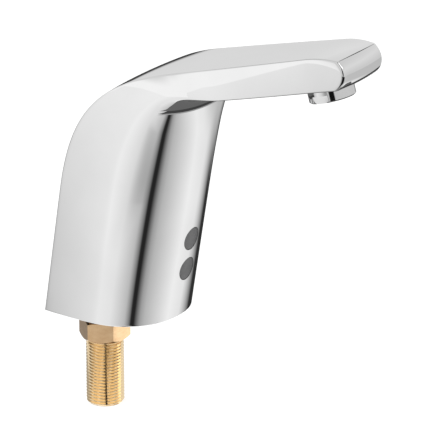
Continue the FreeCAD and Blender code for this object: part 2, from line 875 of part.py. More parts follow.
# ---------------------------------------------------------------- check valve and strainer
cartridge_top = -D.cartridge_below
cartridge_low = cartridge_top - D.cartridge_length
guide_low = cartridge_top - D.guide_thickness
seat_top = cartridge_low + D.seat_thickness
inside = D.cartridge_radius - D.cartridge_wall
guide_ring = D.riser_bore - D.guide_hole_radius - D.guide_hole_margin
check_valve_body = cut(
    "check_valve_body",
    turned("check_valve_blank", [
        (D.check_seat_radius, cartridge_low),
        (D.cartridge_radius, cartridge_low),
        (D.cartridge_radius, cartridge_top),
        (D.check_stem_radius + D.running_clearance, cartridge_top),
        (D.check_stem_radius + D.running_clearance, guide_low),
        (inside, guide_low),
        (inside, seat_top),
        (D.check_seat_radius, seat_top),
    ]),
    *[rod(f"guide_hole_{i}", D.guide_hole_radius, D.guide_thickness, x, y, guide_low)
      for i, (x, y) in enumerate(ring_of(6, guide_ring))],
)
poppet_low = seat_top + D.seat_gap
stem_length = cartridge_top - D.stem_short - poppet_low
check_valve_poppet = turned("check_valve_poppet", [
    (0, -D.poppet_nose),
    (D.check_seat_radius - D.poppet_nose_in, 0),
    (D.check_disc_radius, 0),
    (D.check_disc_radius, D.check_disc_thickness),
    (D.check_stem_radius, D.check_disc_thickness),
    (D.check_stem_radius, stem_length),
    (0, stem_length),
], z=poppet_low)
CHECK_SPRING_TURNS = 6
check_spring_low = poppet_low + D.check_disc_thickness + D.spring_wire
check_valve_spring = spring("check_valve_spring", D.check_spring_radius, D.spring_wire,
                            guide_low - D.spring_wire - check_spring_low, CHECK_SPRING_TURNS,
                            z=check_spring_low)


def spoke(name, length, width, low, height, turn):
    """A thin bar across the axis, used to slot both walls of a basket."""
    bar = doc.addObject("Part::Box", name)
    for side, size in zip(("Length", "Width", "Height"), (length, width, height)):
        bar.setExpression(side, size_of(size).text)
    turn = size_of(turn)
    bar.Placement = Placement(Vector(), Rotation(Vector(0, 0, 1), turn.value))
    half, thin = size_of(length) / 2, size_of(width) / 2
    bar.setExpression("Placement.Base.x", (thin * sin(turn) - half * cos(turn)).text)
    bar.setExpression("Placement.Base.y", (-(half * sin(turn)) - thin * cos(turn)).text)
    bar.setExpression("Placement.Base.z", size_of(low).text)
    return bar


basket_inside = D.strainer_radius - D.strainer_wall
basket_top = D.strainer_length
slot_low = D.strainer_rim + D.strainer_margin
SLOT_BARS = 6
inlet_strainer = place(cut(
    "inlet_strainer",
    turned("strainer_blank", [
        (basket_inside, 0),
        (D.strainer_rim_radius, 0),
        (D.strainer_rim_radius, D.strainer_rim),
        (D.strainer_radius, D.strainer_rim),
        (D.strainer_radius, basket_top),
        (0, basket_top),
        (0, basket_top - D.strainer_wall),
        (basket_inside, basket_top - D.strainer_wall),
    ]),
    *[spoke(f"strainer_slot_{i}", (D.strainer_radius + D.strainer_wall) * 2, D.strainer_slot,
            slot_low, basket_top - D.strainer_top - slot_low, 180.0 * i / SLOT_BARS)
      for i in range(SLOT_BARS)],
), z=shank_end)

# ---------------------------------------------------------------- valve block
valve_x, valve_y = D.valve_out, -D.valve_reach
bonnet_corners = [(valve_x + D.bonnet_screw_out * p, valve_y + D.bonnet_screw_out * q)
                  for p in (-1, 1) for q in (-1, 1)]
feed_z = block_top - D.feed_below_top
feed_run = D.valve_reach - D.seat_radius - D.feed_into_chamber
outlet_z = block_low + D.outlet_above_low
hose_x, hose_y = D.hose_out, -D.hose_reach
hose_low = block_top - D.hose_socket_depth
hose_ring_section = D.hose_ring_depth / 2
ring_groove_width = D.hose_ring_depth + D.close_fit * 2
hose_ring_z = hose_low + D.hose_socket_depth / 2
seal_groove_mid = (D.chamber_radius + D.bonnet_screw_out * math.sqrt(2)) / 2 - D.bonnet_seal_in
seal_ring = D.bonnet_seal_section

valve_block = cut(
    "valve_block",
    fuse(
        "block_blank",
        block("block_box", (-D.block_half, -D.block_front, block_low),
              (D.block_half, D.block_back, block_top)),
        *[rod(f"pillar_{i}", D.pillar_radius, D.block_gap + OVERLAP, *spot)
          for i, spot in enumerate(pillar_spots)],
    ),
    rod("inlet_socket", D.plug_radius + D.plug_clearance, D.plug_length, z=block_low),
    rod("inlet_riser", D.riser_bore, feed_z - block_low, z=block_low),
    rod("feed_hole", D.feed_bore, feed_run, ZERO, -feed_run, feed_z, "Y"),
    tube("valve_chamber", D.chamber_radius, D.seat_radius, D.chamber_depth,
         valve_x, valve_y, block_top - D.chamber_depth),
    rod("outlet_drop", D.outlet_bore, block_top - outlet_z, valve_x, valve_y, outlet_z),
    rod("outlet_across", D.feed_bore, hose_x - valve_x, valve_x, valve_y, outlet_z, "X"),
    rod("outlet_back", D.feed_bore, D.valve_reach - D.hose_reach, hose_x, valve_y, outlet_z, "Y"),
    rod("outlet_up", D.hose_bore, block_top - outlet_z, hose_x, hose_y, outlet_z),
    rod("hose_socket", D.hose_radius + D.socket_clearance, D.hose_socket_depth,
        hose_x, hose_y, hose_low),
    rod("hose_ring_groove", D.hose_radius + D.hose_ring_depth, ring_groove_width,
        hose_x, hose_y, hose_ring_z - ring_groove_width / 2),
    tube("bonnet_seal_groove", seal_groove_mid + seal_ring, seal_groove_mid - seal_ring,
         seal_ring * 2, valve_x, valve_y, block_top - seal_ring * 2),
    *[rod(f"pillar_hole_{i}", D.foot_screw_radius + free, D.block_screw_length, x, y, head_seat)
      for i, (x, y, _) in enumerate(pillar_spots)],
    *[rod(f"bonnet_pilot_{i}", D.bonnet_screw_radius + free, D.bonnet_pilot_depth, x, y,
          block_top - D.bonnet_pilot_depth)
      for i, (x, y) in enumerate(bonnet_corners)],
)
bonnet_seal = o_ring("bonnet_seal", seal_groove_mid, seal_ring, block_top - seal_ring,
                     valve_x, valve_y)

# ---------------------------------------------------------------- servo valve and solenoid
bonnet_top = block_top + D.bonnet_height
plunger_fit = D.plunger_radius + D.running_clearance
valve_bonnet = cut(
    "valve_bonnet",
    block("bonnet_box", (valve_x - D.bonnet_half, valve_y - D.bonnet_half, block_top),
          (valve_x + D.bonnet_half, valve_y + D.bonnet_half, bonnet_top)),
    rod("bonnet_chamber_hole", D.chamber_radius, D.bonnet_height - D.bonnet_roof,
        valve_x, valve_y, block_top),
    rod("bonnet_plunger_hole", plunger_fit, D.bonnet_height, valve_x, valve_y, block_top),
    *[rod(f"bonnet_hole_{i}", D.bonnet_screw_radius + free, D.bonnet_height, x, y, block_top)
      for i, (x, y) in enumerate(bonnet_corners)],
)
bonnet_screws = group("bonnet_screws", *[
    screw(f"bonnet_screw_{i}", D.bonnet_screw_radius, D.bonnet_screw_head, D.bonnet_screw_cap,
          D.bonnet_height + D.bonnet_screw_grip, (x, y, bonnet_top), 180)
    for i, (x, y) in enumerate(bonnet_corners)
])

washer_low = block_top + D.seat_gap
piston_low = D.valve_washer_thickness
piston_top = piston_low + D.piston_height
nozzle_top = piston_top + D.nozzle_height
valve_washer = tube("valve_washer", D.washer_radius, D.piston_neck + D.slip_fit,
                    D.valve_washer_thickness, valve_x, valve_y, washer_low)
valve_piston = turned("valve_piston", [
    (D.pilot_radius, -D.piston_skirt),
    (D.piston_hub, -D.piston_skirt),
    (D.piston_hub, 0),
    (D.piston_neck, 0),
    (D.piston_neck, piston_low),
    (D.chamber_radius - D.running_clearance, piston_low),
    (D.chamber_radius - D.running_clearance, piston_top),
    (D.nozzle_radius, piston_top),
    (D.nozzle_radius, nozzle_top),
    (D.pilot_radius, nozzle_top),
], valve_x, valve_y, washer_low)
tip_low = washer_low + nozzle_top + D.seat_gap
plunger_low = tip_low + D.tip_length
plunger_seal = rod("plunger_seal", D.tip_radius, D.tip_length + D.tip_pocket,
                   valve_x, valve_y, tip_low)
plunger = turned("plunger", [
    (D.tip_radius + D.slip_fit, 0),
    (D.plunger_radius, 0),
    (D.plunger_radius, D.plunger_length),
    (D.plunger_spring_radius + D.spring_room, D.plunger_length),
    (D.plunger_spring_radius + D.spring_room, D.plunger_length - D.spring_pocket),
    (0, D.plunger_length - D.spring_pocket),
    (0, D.tip_pocket),
    (D.tip_radius + D.slip_fit, D.tip_pocket),
], valve_x, valve_y, plunger_low)
tube_top = bonnet_top + D.tube_length
pole_low = plunger_low + D.plunger_length + D.plunger_lift + D.pole_gap
armature_tube = turned("armature_tube", [
    (plunger_fit, 0),
    (D.tube_flange, 0),
    (D.tube_flange, D.tube_flange_thickness),
    (plunger_fit + D.tube_wall, D.tube_flange_thickness),
    (plunger_fit + D.tube_wall, D.tube_length),
    (plunger_fit, D.tube_length),
], valve_x, valve_y, bonnet_top)
pole_piece = turned("pole_piece", [
    (0, pole_low),
    (plunger_fit - D.close_fit, pole_low),
    (plunger_fit - D.close_fit, tube_top),
    (plunger_fit + D.tube_wall, tube_top),
    (plunger_fit + D.tube_wall, tube_top + D.pole_cap),
    (0, tube_top + D.pole_cap),
], valve_x, valve_y)
PLUNGER_SPRING_TURNS = 4
plunger_spring_low = plunger_low + D.plunger_length - D.spring_pocket + D.spring_wire
plunger_spring = spring("plunger_spring", D.plunger_spring_radius, D.spring_wire,
                        pole_low - D.spring_wire - plunger_spring_low, PLUNGER_SPRING_TURNS,
                        valve_x, valve_y, plunger_spring_low)

yoke_low = bonnet_top + D.tube_flange_thickness
coil_low = yoke_low + D.yoke_plate
coil_top = coil_low + D.coil_height
tube_fit = plunger_fit + D.tube_wall + D.close_fit
bobbin_core = tube_fit + D.bobbin_wall
coil_bobbin = turned("coil_bobbin", [
    (tube_fit, 0),
    (D.coil_radius, 0),
    (D.coil_radius, D.bobbin_wall),
    (bobbin_core, D.bobbin_wall),
    (bobbin_core, D.coil_height - D.bobbin_wall),
    (D.coil_radius, D.coil_height - D.bobbin_wall),
    (D.coil_radius, D.coil_height),
    (tube_fit, D.coil_height),
], valve_x, valve_y, coil_low)
solenoid_coil = tube("solenoid_coil", D.coil_radius - D.coil_room, bobbin_core,
                     D.coil_height - D.bobbin_wall * 2, valve_x, valve_y, coil_low + D.bobbin_wall)
yoke_in = D.coil_radius + D.coil_room
yoke_out = yoke_in + D.yoke_plate
solenoid_yoke = cut(
    "solenoid_yoke",
    block("yoke_box", (valve_x - yoke_out, valve_y - D.yoke_half, yoke_low),
          (valve_x + yoke_out, valve_y + D.yoke_half, coil_top + D.yoke_plate)),
    block("yoke_window", (valve_x - yoke_in, valve_y - D.yoke_half - OVERLAP, coil_low),
          (valve_x + yoke_in, valve_y + D.yoke_half + OVERLAP, coil_top)),
    rod("yoke_hole", tube_fit, coil_top - yoke_low + OVERLAP * 2, valve_x, valve_y, yoke_low),
)
yoke_clip = tube("yoke_clip", D.tube_flange, tube_fit - D.slip_fit, D.clip_thickness,
                 valve_x, valve_y, coil_top + D.yoke_plate)

# ---------------------------------------------------------------- outlet hose


def in_the_body(x, s, share):
    """A point inside the body: a share of the way from its outer to its inner line."""
    spot = outer_line(s) + (inner_line(s) - outer_line(s)) * share
    return Vector(x, -spot.x, spot.y)


def rounded_path(corners, radius):
    """Straight runs through corners, joined by arcs that touch both runs."""
    edges, last = [], corners[0]
    for before, corner, after in zip(corners, corners[1:], corners[2:]):
        back, ahead = (before - corner).normalize(), (after - corner).normalize()
        half_turn = (math.pi - back.getAngle(ahead)) / 2
        cut_off = radius * math.tan(half_turn)
        start, end = corner + back * cut_off, corner + ahead * cut_off
        middle = corner + (back + ahead).normalize() * (radius / math.cos(half_turn) - radius)
        edges.append(Part.LineSegment(last, start).toShape())
        edges.append(Part.Arc(start, middle, end).toShape())
        last = end
    edges.append(Part.LineSegment(last, corners[-1]).toShape())
    return Part.Wire(edges)


def swept(name, path, radius):
    """A round bar along a path that starts straight up."""
    ring = Part.Wire(Part.makeCircle(radius, path.Edges[0].Vertexes[0].Point, Vector(0, 0, 1)))
    thing = doc.addObject("Part::Feature", name)
    thing.Shape = path.makePipeShell([ring], True, True)
    return thing


# the hose's corners: share of its distance aside, place in the body, share from top to underside
HOSE_ROUTE = [(0.98, 0.92, 0.29), (0.91, 1.30, 0.24), (0.79, 1.55, 0.25), (0.65, 1.78, 0.33),
              (0.2, 2.03, 0.50), (0.0, 2.35, 0.43), (0.0, HOSE_END, 0.43)]
hose_corners = [in_the_body(D.hose_out.value * aside, s, share) for aside, s, share in HOSE_ROUTE]
before_end, hose_end = hose_corners[-2:]
hose_foot = Vector(hose_x.value, hose_y.value, hose_low.value)
straight_up = Vector(0, 0, D.hose_socket_depth.value + D.hose_straight.value)
hose_path = rounded_path([hose_foot, hose_foot + straight_up] + hose_corners, D.hose_bend.value)
outlet_hose = cut("outlet_hose", swept("hose_outside", hose_path, D.hose_radius.value),
                  swept("hose_inside", hose_path, D.hose_bore.value))
hose_heading = (hose_end - before_end).normalize()
hose_rise = math.degrees(math.asin(hose_heading.z))


def along_spout(name, radius, length, start, rise):
    """A bore that starts at a point and runs forward at a given rise."""
    thing = doc.addObject("Part::Cylinder", name)
    thing.setExpression("Radius", size_of(radius).text)
    thing.setExpression("Height", size_of(length).text)
    thing.Placement = Placement(start, Rotation(Vector(1, 0, 0), 90 - rise))
    return thing


seal_spot = hose_end - hose_heading * D.hose_ring_back.value
nose_ring = doc.addObject("Part::Torus", "nose_hose_ring")
nose_ring.setExpression("Radius1", (D.hose_radius + hose_ring_section).text)
nose_ring.setExpression("Radius2", hose_ring_section.text)
nose_ring.Placement = Placement(seal_spot, Rotation(Vector(1, 0, 0), 90 - hose_rise))
hose_seals = group(
    "hose_seals",
    o_ring("block_hose_ring", D.hose_radius + hose_ring_section, hose_ring_section,
           hose_ring_z, hose_x, hose_y),
    nose_ring,
)

# ---------------------------------------------------------------- aerator
skirt, gasket_low = D.aerator_skirt, D.aerator_skirt + D.aerator_thread_length
socket_top = gasket_low + D.washer_thickness
tip_tilt = -D.aerator_tilt
aerator_reach = D.nose_reach - D.aerator_inset
aerator_height = D.under_height + tan_under * aerator_reach - D.aerator_drop


def in_aerator(name, corners, up=ZERO):
    """A turned piece on the aerator's own axis."""
    return turned(name, corners, ZERO, -(aerator_reach - up * sin(D.aerator_tilt)),
                  aerator_height + up * cos(D.aerator_tilt), tip_tilt)


def flat_tool(name, side):
    """A slab that takes one wrench flat off the aerator's rim."""
    near = D.aerator_flats / 2
    low = near if side > 0 else -(near + OVERRUN)
    wide = D.aerator_radius * 2
    slab = block(name, (low, -wide, -OVERLAP), (low + OVERRUN, wide, D.aerator_flat_height))
    y = -aerator_reach - wide * cos(D.aerator_tilt) - OVERLAP * sin(D.aerator_tilt)
    z = aerator_height + wide * sin(D.aerator_tilt) - OVERLAP * cos(D.aerator_tilt)
    return place(slab, low, y, z, tip_tilt)


lip_bore = D.aerator_bore - D.aerator_lip_in
aerator_housing = cut(
    "aerator_housing",
    in_aerator("aerator_blank", [
        (lip_bore, 0),
        (D.aerator_radius - D.aerator_chamfer, 0),
        (D.aerator_radius, D.aerator_chamfer),
        (D.aerator_radius, skirt),
        (D.aerator_thread_radius, skirt),
        (D.aerator_thread_radius, gasket_low),
        (D.aerator_bore, gasket_low),
        (D.aerator_bore, D.aerator_lip),
        (lip_bore, D.aerator_lip),
    ]),
    flat_tool("left_flat", -1),
    flat_tool("right_flat", 1),
)
insert_radius = D.aerator_bore - D.close_fit
INSERT_RINGS = ((6, 0.33), (12, 0.66))    # holes per ring, and the ring's share of the bore
insert_blank = turned("insert_blank", [
    (0, 0), (insert_radius, 0), (insert_radius, D.insert_thickness), (0, D.insert_thickness)])
insert_holes = [
    rod(f"insert_hole_{count}_{i}", D.insert_hole_radius, D.insert_thickness, x, y)
    for count, share in INSERT_RINGS
    for i, (x, y) in enumerate(ring_of(count, D.aerator_bore * share))
]
aerator_up = D.aerator_lip
aerator_insert = place(
    cut("aerator_insert", insert_blank, *insert_holes), ZERO,
    -(aerator_reach - aerator_up * sin(D.aerator_tilt)),
    aerator_height + aerator_up * cos(D.aerator_tilt), tip_tilt)
aerator_screen = in_aerator("aerator_screen", [
    (0, 0), (insert_radius, 0), (insert_radius, D.screen_thickness),
    (0, D.screen_thickness)], D.aerator_lip + D.insert_thickness)
gasket_bore = D.aerator_bore - D.gasket_in
aerator_gasket = in_aerator("aerator_gasket", [
    (gasket_bore, 0), (D.aerator_thread_radius - D.close_fit, 0),
    (D.aerator_thread_radius - D.close_fit, D.washer_thickness),
    (gasket_bore, D.washer_thickness)], gasket_low)
socket_low = skirt - D.socket_mouth
thread_socket = in_aerator("thread_socket", [
    (0, socket_low), (D.aerator_radius + D.socket_clearance, socket_low),
    (D.aerator_radius + D.socket_clearance, skirt),
    (D.aerator_thread_radius + D.socket_clearance, skirt),
    (D.aerator_thread_radius + D.socket_clearance, socket_top), (0, socket_top)])
plenum = in_aerator("plenum", [
    (0, socket_top - OVERLAP), (D.plenum_radius, socket_top - OVERLAP),
    (D.plenum_radius, socket_top + D.plenum_height), (0, socket_top + D.plenum_height)])

# ---------------------------------------------------------------- cast body
nose_centre = D.nose_reach - D.nose_radius
nose_z = (D.under_height + tan_under * nose_centre + D.nose_radius / cos(D.under_slope)
          - D.nose_drop)
NOSE_SWING = 30    # degrees that the nose's profile is spun to either side
NOSE_CLEAR = 40    # how far the waste in front of it reaches


def nose_waste_shape():
    """What is cut off in front of the nose: a rounded profile spun about an upright line."""
    bow, radius, middle = D.nose_bow.value, D.nose_radius.value, nose_z.value
    axis = Vector(0, bow - D.nose_reach.value, 0)
    tangent = math.radians(D.under_slope.value)

    def spot(r, z):
        return axis + Vector(0, -r, z)

    inside = bow - radius
    top, front = spot(inside, middle + radius), spot(bow, middle)
    low_r = inside + radius * math.sin(tangent)
    low = spot(low_r, middle - radius * math.cos(tangent))
    far, above, below = bow + NOSE_CLEAR, middle + NOSE_CLEAR, middle - NOSE_CLEAR
    around = [low, spot(low_r, below), spot(far, below), spot(far, above), spot(inside, above), top]
    edges = [Part.Arc(top, front, low).toShape()]
    edges += [Part.LineSegment(a, b).toShape() for a, b in zip(around, around[1:])]
    face = Part.Face(Part.Wire(edges))
    face.rotate(axis, Vector(0, 0, 1), -NOSE_SWING)
    return face.revolve(axis, Vector(0, 0, 1), 2 * NOSE_SWING)


nose_waste = doc.addObject("Part::Feature", "nose_waste")
nose_waste.Shape = nose_waste_shape()
boss_tools = [rod(f"boss_{i}", D.boss_radius, D.boss_height, *spot)
              for i, spot in enumerate(boss_spots)]
in_front = size_of(8.0)
HOSE_SOCKET_RUN = 14.0    # the bore that holds the hose's end
NOSE_BORE_RUN = 11.0      # the bore from there into the aerator's chamber
NOSE_BORE_BACK = 0.5      # how far it starts back inside the hose's bore
windows_up = {"upper": D.upper_window_up, "lower": D.upper_window_up - D.window_spacing}
bore_start = hose_end - hose_heading * NOSE_BORE_BACK
body_shell = cut(
    "body_shell",
    fuse("shell_and_bosses", cut("shell_blank", body_form, cavity_form),
         common("bosses", fuse("boss_rods", *boss_tools), body_form)),
    nose_waste,
    *[rod(f"boss_pilot_{i}", D.foot_screw_radius + free, D.boss_height - D.boss_roof, *spot)
      for i, spot in enumerate(boss_spots)],
    *[front_rod(f"{name}_window_hole", D.window_hole, in_front * 2, ZERO, -in_front, up)
      for name, up in windows_up.items()],
    thread_socket,
    plenum,
    along_spout("hose_bore_hole", D.hose_radius + D.socket_clearance, HOSE_SOCKET_RUN,
                hose_end - hose_heading * HOSE_SOCKET_RUN, hose_rise),
    along_spout("hose_seal_groove", D.hose_radius + D.hose_ring_depth, ring_groove_width,
                seal_spot - hose_heading * (ring_groove_width.value / 2), hose_rise),
    along_spout("nose_feed", D.nose_bore, NOSE_BORE_RUN, bore_start, D.nose_bore_rise.value),
)

# ---------------------------------------------------------------- sensor module
housing_face = D.module_front
windows, seals = [], []
for name, up in windows_up.items():
    pane = front_rod(f"{name}_pane", D.window_radius, D.module_front + in_front, ZERO, -in_front,
                     up)
    flange_deep = D.module_front - D.window_flange_thickness
    windows.append(fuse(
        f"sensor_window_{name}",
        common(f"{name}_flush_pane", pane, window_form),
        front_rod(f"{name}_flange", D.window_flange, D.window_flange_thickness, ZERO,
                  flange_deep, up),
    ))
    ring_blank = cut(
        f"{name}_ring_blank",
        front_rod(f"{name}_ring_out", D.window_hole - D.slip_fit, flange_deep + in_front, ZERO,
                  -in_front, up),
        front_rod(f"{name}_ring_in", D.window_radius + D.slip_fit, flange_deep + in_front, ZERO,
                  -in_front, up),
    )
    seals.append(common(f"{name}_seal", ring_blank, window_form))
window_seals = group("window_seals", *seals)
sensor_window_upper, sensor_window_lower = windows

wall = D.module_wall
screw_ups = [D.module_low + D.module_screw_low, D.module_high - D.module_screw_high]
rest_spots = [(x, up) for x in (-D.board_rest_out, D.board_rest_out)
              for up in (D.module_low + D.board_rest_low, D.module_high - D.board_rest_high)]
front_inside = D.module_front + wall
sensor_housing = cut(
    "sensor_housing",
    fuse(
        "housing_blank",
        cut(
            "housing_box",
            front_box("housing_outside", (-D.module_half, D.module_front, D.module_low),
                      (D.module_half, D.module_back, D.module_high)),
            front_box("housing_inside", (wall - D.module_half, front_inside, D.module_low + wall),
                      (D.module_half - wall, D.module_back + OVERLAP, D.module_high - wall)),
        ),
        *[front_rod(f"board_rest_{i}", D.board_rest_radius, D.board_deep - D.module_front, x,
                    D.module_front, up) for i, (x, up) in enumerate(rest_spots)],
        *[front_rod(f"screw_boss_{i}", D.module_screw_head, D.module_back - D.module_front, ZERO,
                    D.module_front, up) for i, up in enumerate(screw_ups)],
    ),
    *[front_rod(f"eye_hole_{name}", D.eye_radius, wall + OVERLAP, ZERO, D.module_front - OVERLAP / 2, up)
      for name, up in windows_up.items()],
    *[front_rod(f"module_pilot_{i}", D.module_screw_radius + free, D.module_back - front_inside,
                ZERO, front_inside, up) for i, up in enumerate(screw_ups)],
)
board_half = D.module_half - wall - D.board_side_gap
board_back = D.board_deep + D.board_thickness
sensor_board = front_box("sensor_board",
                         (-board_half, D.board_deep, D.module_low + D.board_low),
                         (board_half, board_back, D.module_high - D.board_high))
cover_back = D.module_back + D.cover_thickness
sensor_cover = cut(
    "sensor_cover",
    fuse(
        "cover_blank",
        front_box("cover_plate", (-D.module_half, D.module_back, D.module_low),
                  (D.module_half, cover_back, D.module_high)),
        *[front_rod(f"cover_post_{i}", D.cover_post_radius,
                    D.module_back - board_back + D.cover_post_lap, x, board_back, up)
          for i, (x, up) in enumerate(rest_spots)],
    ),
    *[front_rod(f"cover_hole_{i}", D.module_screw_radius + free, OVERRUN / 2, ZERO,
                D.module_back - OVERLAP, up)
      for i, up in enumerate(screw_ups)],
)
dome_deep = D.module_front + D.dome_gap
emitter_up, receiver_up = windows_up["upper"], windows_up["lower"]


def ball(name, radius, x, deep, up):
    thing = doc.addObject("Part::Sphere", name)
    thing.setExpression("Radius", size_of(radius).text)
    return place(thing, *front_at(x, deep, up))


emitter_mid = dome_deep + D.emitter_radius
DOME_STEPS = 6
dome_turns = [size_of(90.0 * i / DOME_STEPS) for i in range(DOME_STEPS)]
ir_emitter = turned("ir_emitter", [
    (0, -D.emitter_radius),
    *[(D.emitter_radius * cos(a), -(D.emitter_radius * sin(a))) for a in reversed(dome_turns)],
    (D.emitter_radius, D.board_deep - emitter_mid),
    (0, D.board_deep - emitter_mid),
], *front_at(ZERO, emitter_mid, emitter_up), INWARD)
ir_receiver = fuse(
    "ir_receiver",
    front_box("receiver_case", (-D.receiver_half, dome_deep + OVERLAP, receiver_up - D.receiver_half),
              (D.receiver_half, D.board_deep, receiver_up + D.receiver_half)),
    ball("receiver_dome", D.receiver_lens, ZERO, dome_deep + D.receiver_lens, receiver_up),
)

# ---------------------------------------------------------------- upright frame and battery
frame_front, frame_back = cover_back, cover_back + D.frame_plate
battery_front = frame_back
foot_top = plate_top + D.frame_foot_thickness
battery_ups = [D.battery_low + D.battery_screw_in, D.battery_high - D.battery_screw_in]
flange_reach = D.frame_foot_reach + D.frame_foot_ahead
module_frame = cut(
    "module_frame",
    fuse(
        "frame_blank",
        front_box("frame_plate_box", (-D.frame_half, frame_front, D.frame_low),
                  (D.frame_half, frame_back, D.frame_high)),
        block("frame_foot", (-D.frame_half, -flange_reach, plate_top),
              (D.frame_half, -(D.frame_foot_reach - D.frame_foot_behind), foot_top)),
    ),
    block("frame_trim", (-D.frame_half - OVERLAP, -D.front_reach, ZERO),
          (D.frame_half + OVERLAP, D.back_reach, plate_top)),
    *[front_rod(f"frame_hole_{i}", D.module_screw_radius + free, OVERRUN / 2, ZERO,
                frame_front - OVERLAP, up)
      for i, up in enumerate(screw_ups + battery_ups)],
    *[rod(f"frame_foot_hole_{i}", D.module_screw_radius + free, OVERRUN, x, y, plate_top - OVERLAP)
      for i, (x, y, _) in enumerate(frame_spots)],
)
sensor_screws = group("sensor_screws", *[
    screw(f"sensor_screw_{i}", D.module_screw_radius, D.module_screw_head, D.module_head_height,
          D.sensor_screw_length, front_at(ZERO, frame_back, up), OUTWARD)
    for i, up in enumerate(screw_ups)
])
battery_screws = group("battery_screws", *[
    screw(f"battery_screw_{i}", D.module_screw_radius, D.module_screw_head, D.module_head_height,
          D.frame_plate + D.battery_screw_grip, front_at(ZERO, frame_front, up), INWARD)
    for i, up in enumerate(battery_ups)
])
case = D.battery_wall
case_back = battery_front + D.battery_depth
battery_case = cut(
    "battery_case",
    front_box("case_outside", (-D.battery_half, battery_front, D.battery_low),
              (D.battery_half, case_back, D.battery_high)),
    front_box("case_inside", (case - D.battery_half, battery_front + case, D.battery_low + case),
              (D.battery_half - case, case_back + OVERLAP, D.battery_high - case)),
    *[front_rod(f"case_pilot_{i}", D.module_screw_radius + free,
                D.battery_screw_grip + D.close_fit, ZERO, battery_front, up)
      for i, up in enumerate(battery_ups)],
)
inner_low, inner_high = D.battery_low + case, D.battery_high - case
contact = D.contact_thickness
cell_out = (D.battery_half - case) / 2
cell_deep = battery_front + case + D.cell_radius + D.close_fit
nub = D.cell_tip_height
cell_length = inner_high - inner_low - contact * 2 - D.cell_play - nub


def cell(name, x):
    can = rod(name + "_can", D.cell_radius, cell_length,
              *front_at(x, cell_deep, inner_low + contact), along=D.front_lean)
    tip = rod(name + "_tip", D.cell_tip_radius, nub,
              *front_at(x, cell_deep, inner_low + contact + cell_length), along=D.front_lean)
    return fuse(name, can, tip)


battery_cells = group("battery_cells", cell("left_cell", -cell_out), cell("right_cell", cell_out))
tab = D.contact_half
battery_contacts = group(
    "battery_contacts",
    front_box("joining_contact", (-cell_out - tab, cell_deep - tab, inner_low),
              (cell_out + tab, cell_deep + tab, inner_low + contact)),
    *[front_box(f"{name}_contact", (x - tab, cell_deep - tab, inner_high - contact),
                (x + tab, cell_deep + tab, inner_high))
      for name, x in (("left", -cell_out), ("right", cell_out))],
)
lid_top = case_back + D.lid_thickness
clip_low, clip_high = D.battery_low + D.clip_inset, D.battery_high - D.clip_inset
clip_start, clip_out = case_back - D.clip_length, D.battery_half + D.clip_wall
battery_lid = fuse(
    "battery_lid",
    front_box("lid_plate", (-D.battery_half, case_back, D.battery_low),
              (D.battery_half, lid_top, D.battery_high)),
    front_box("left_clip", (-clip_out, clip_start, clip_low),
              (-D.battery_half, lid_top, clip_high)),
    front_box("right_clip", (D.battery_half, clip_start, clip_low),
              (clip_out, lid_top, clip_high)),
)

# ---------------------------------------------------------------- check and write
NODES = [
    body_shell, base_plate, base_gasket, base_screws,
    inlet_shank, shank_locknut, shank_oring, inlet_strainer,
    check_valve_body, check_valve_poppet, check_valve_spring,
    valve_block, block_screws, valve_bonnet, bonnet_seal, bonnet_screws,
    valve_piston, valve_washer, armature_tube, pole_piece,
    plunger, plunger_seal, plunger_spring,
    coil_bobbin, solenoid_coil, solenoid_yoke, yoke_clip,
    outlet_hose, hose_seals,
    aerator_housing, aerator_insert, aerator_screen, aerator_gasket,
    sensor_window_upper, sensor_window_lower, window_seals,
    sensor_housing, sensor_cover, sensor_board, ir_emitter, ir_receiver, sensor_screws,
    module_frame, frame_screws, battery_case, battery_screws,
    battery_cells, battery_lid, battery_contacts,
]
doc.recompute()
faults = []
for thing in doc.Objects:
    if "Invalid" in thing.State or "Error" in thing.State:
        faults.append(f"{thing.Name} {thing.State}")
for node in NODES:
    node.Label = node.Name
    if node.Shape.isNull() or not node.Shape.isValid() or not node.Shape.Solids:
        faults.append(f"{node.Name} has no valid solid")
if faults:
    raise RuntimeError("; ".join(faults))
for node in NODES:
    node.Shape.exportStep(f"parts/{node.Label}.step")
    print(node.Label, len(node.Shape.Solids), "solid(s)", round(node.Shape.Volume), "mm3")
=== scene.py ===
# %% [markdown]
# # A touch-free basin tap in polished chrome
# The tap is one hollow casting: a leaning column that bends into a flat spout. Below it
# hangs a brass shank, under the spout's end sits the aerator, and two dark windows in the
# column hide the sensor. The fixed frame holds all 49 parts; this script gives them their
# looks, and rebuilds the three that the eye dwells on as fine surfaces.

# %% Load the frame and keep its box
import json
import math

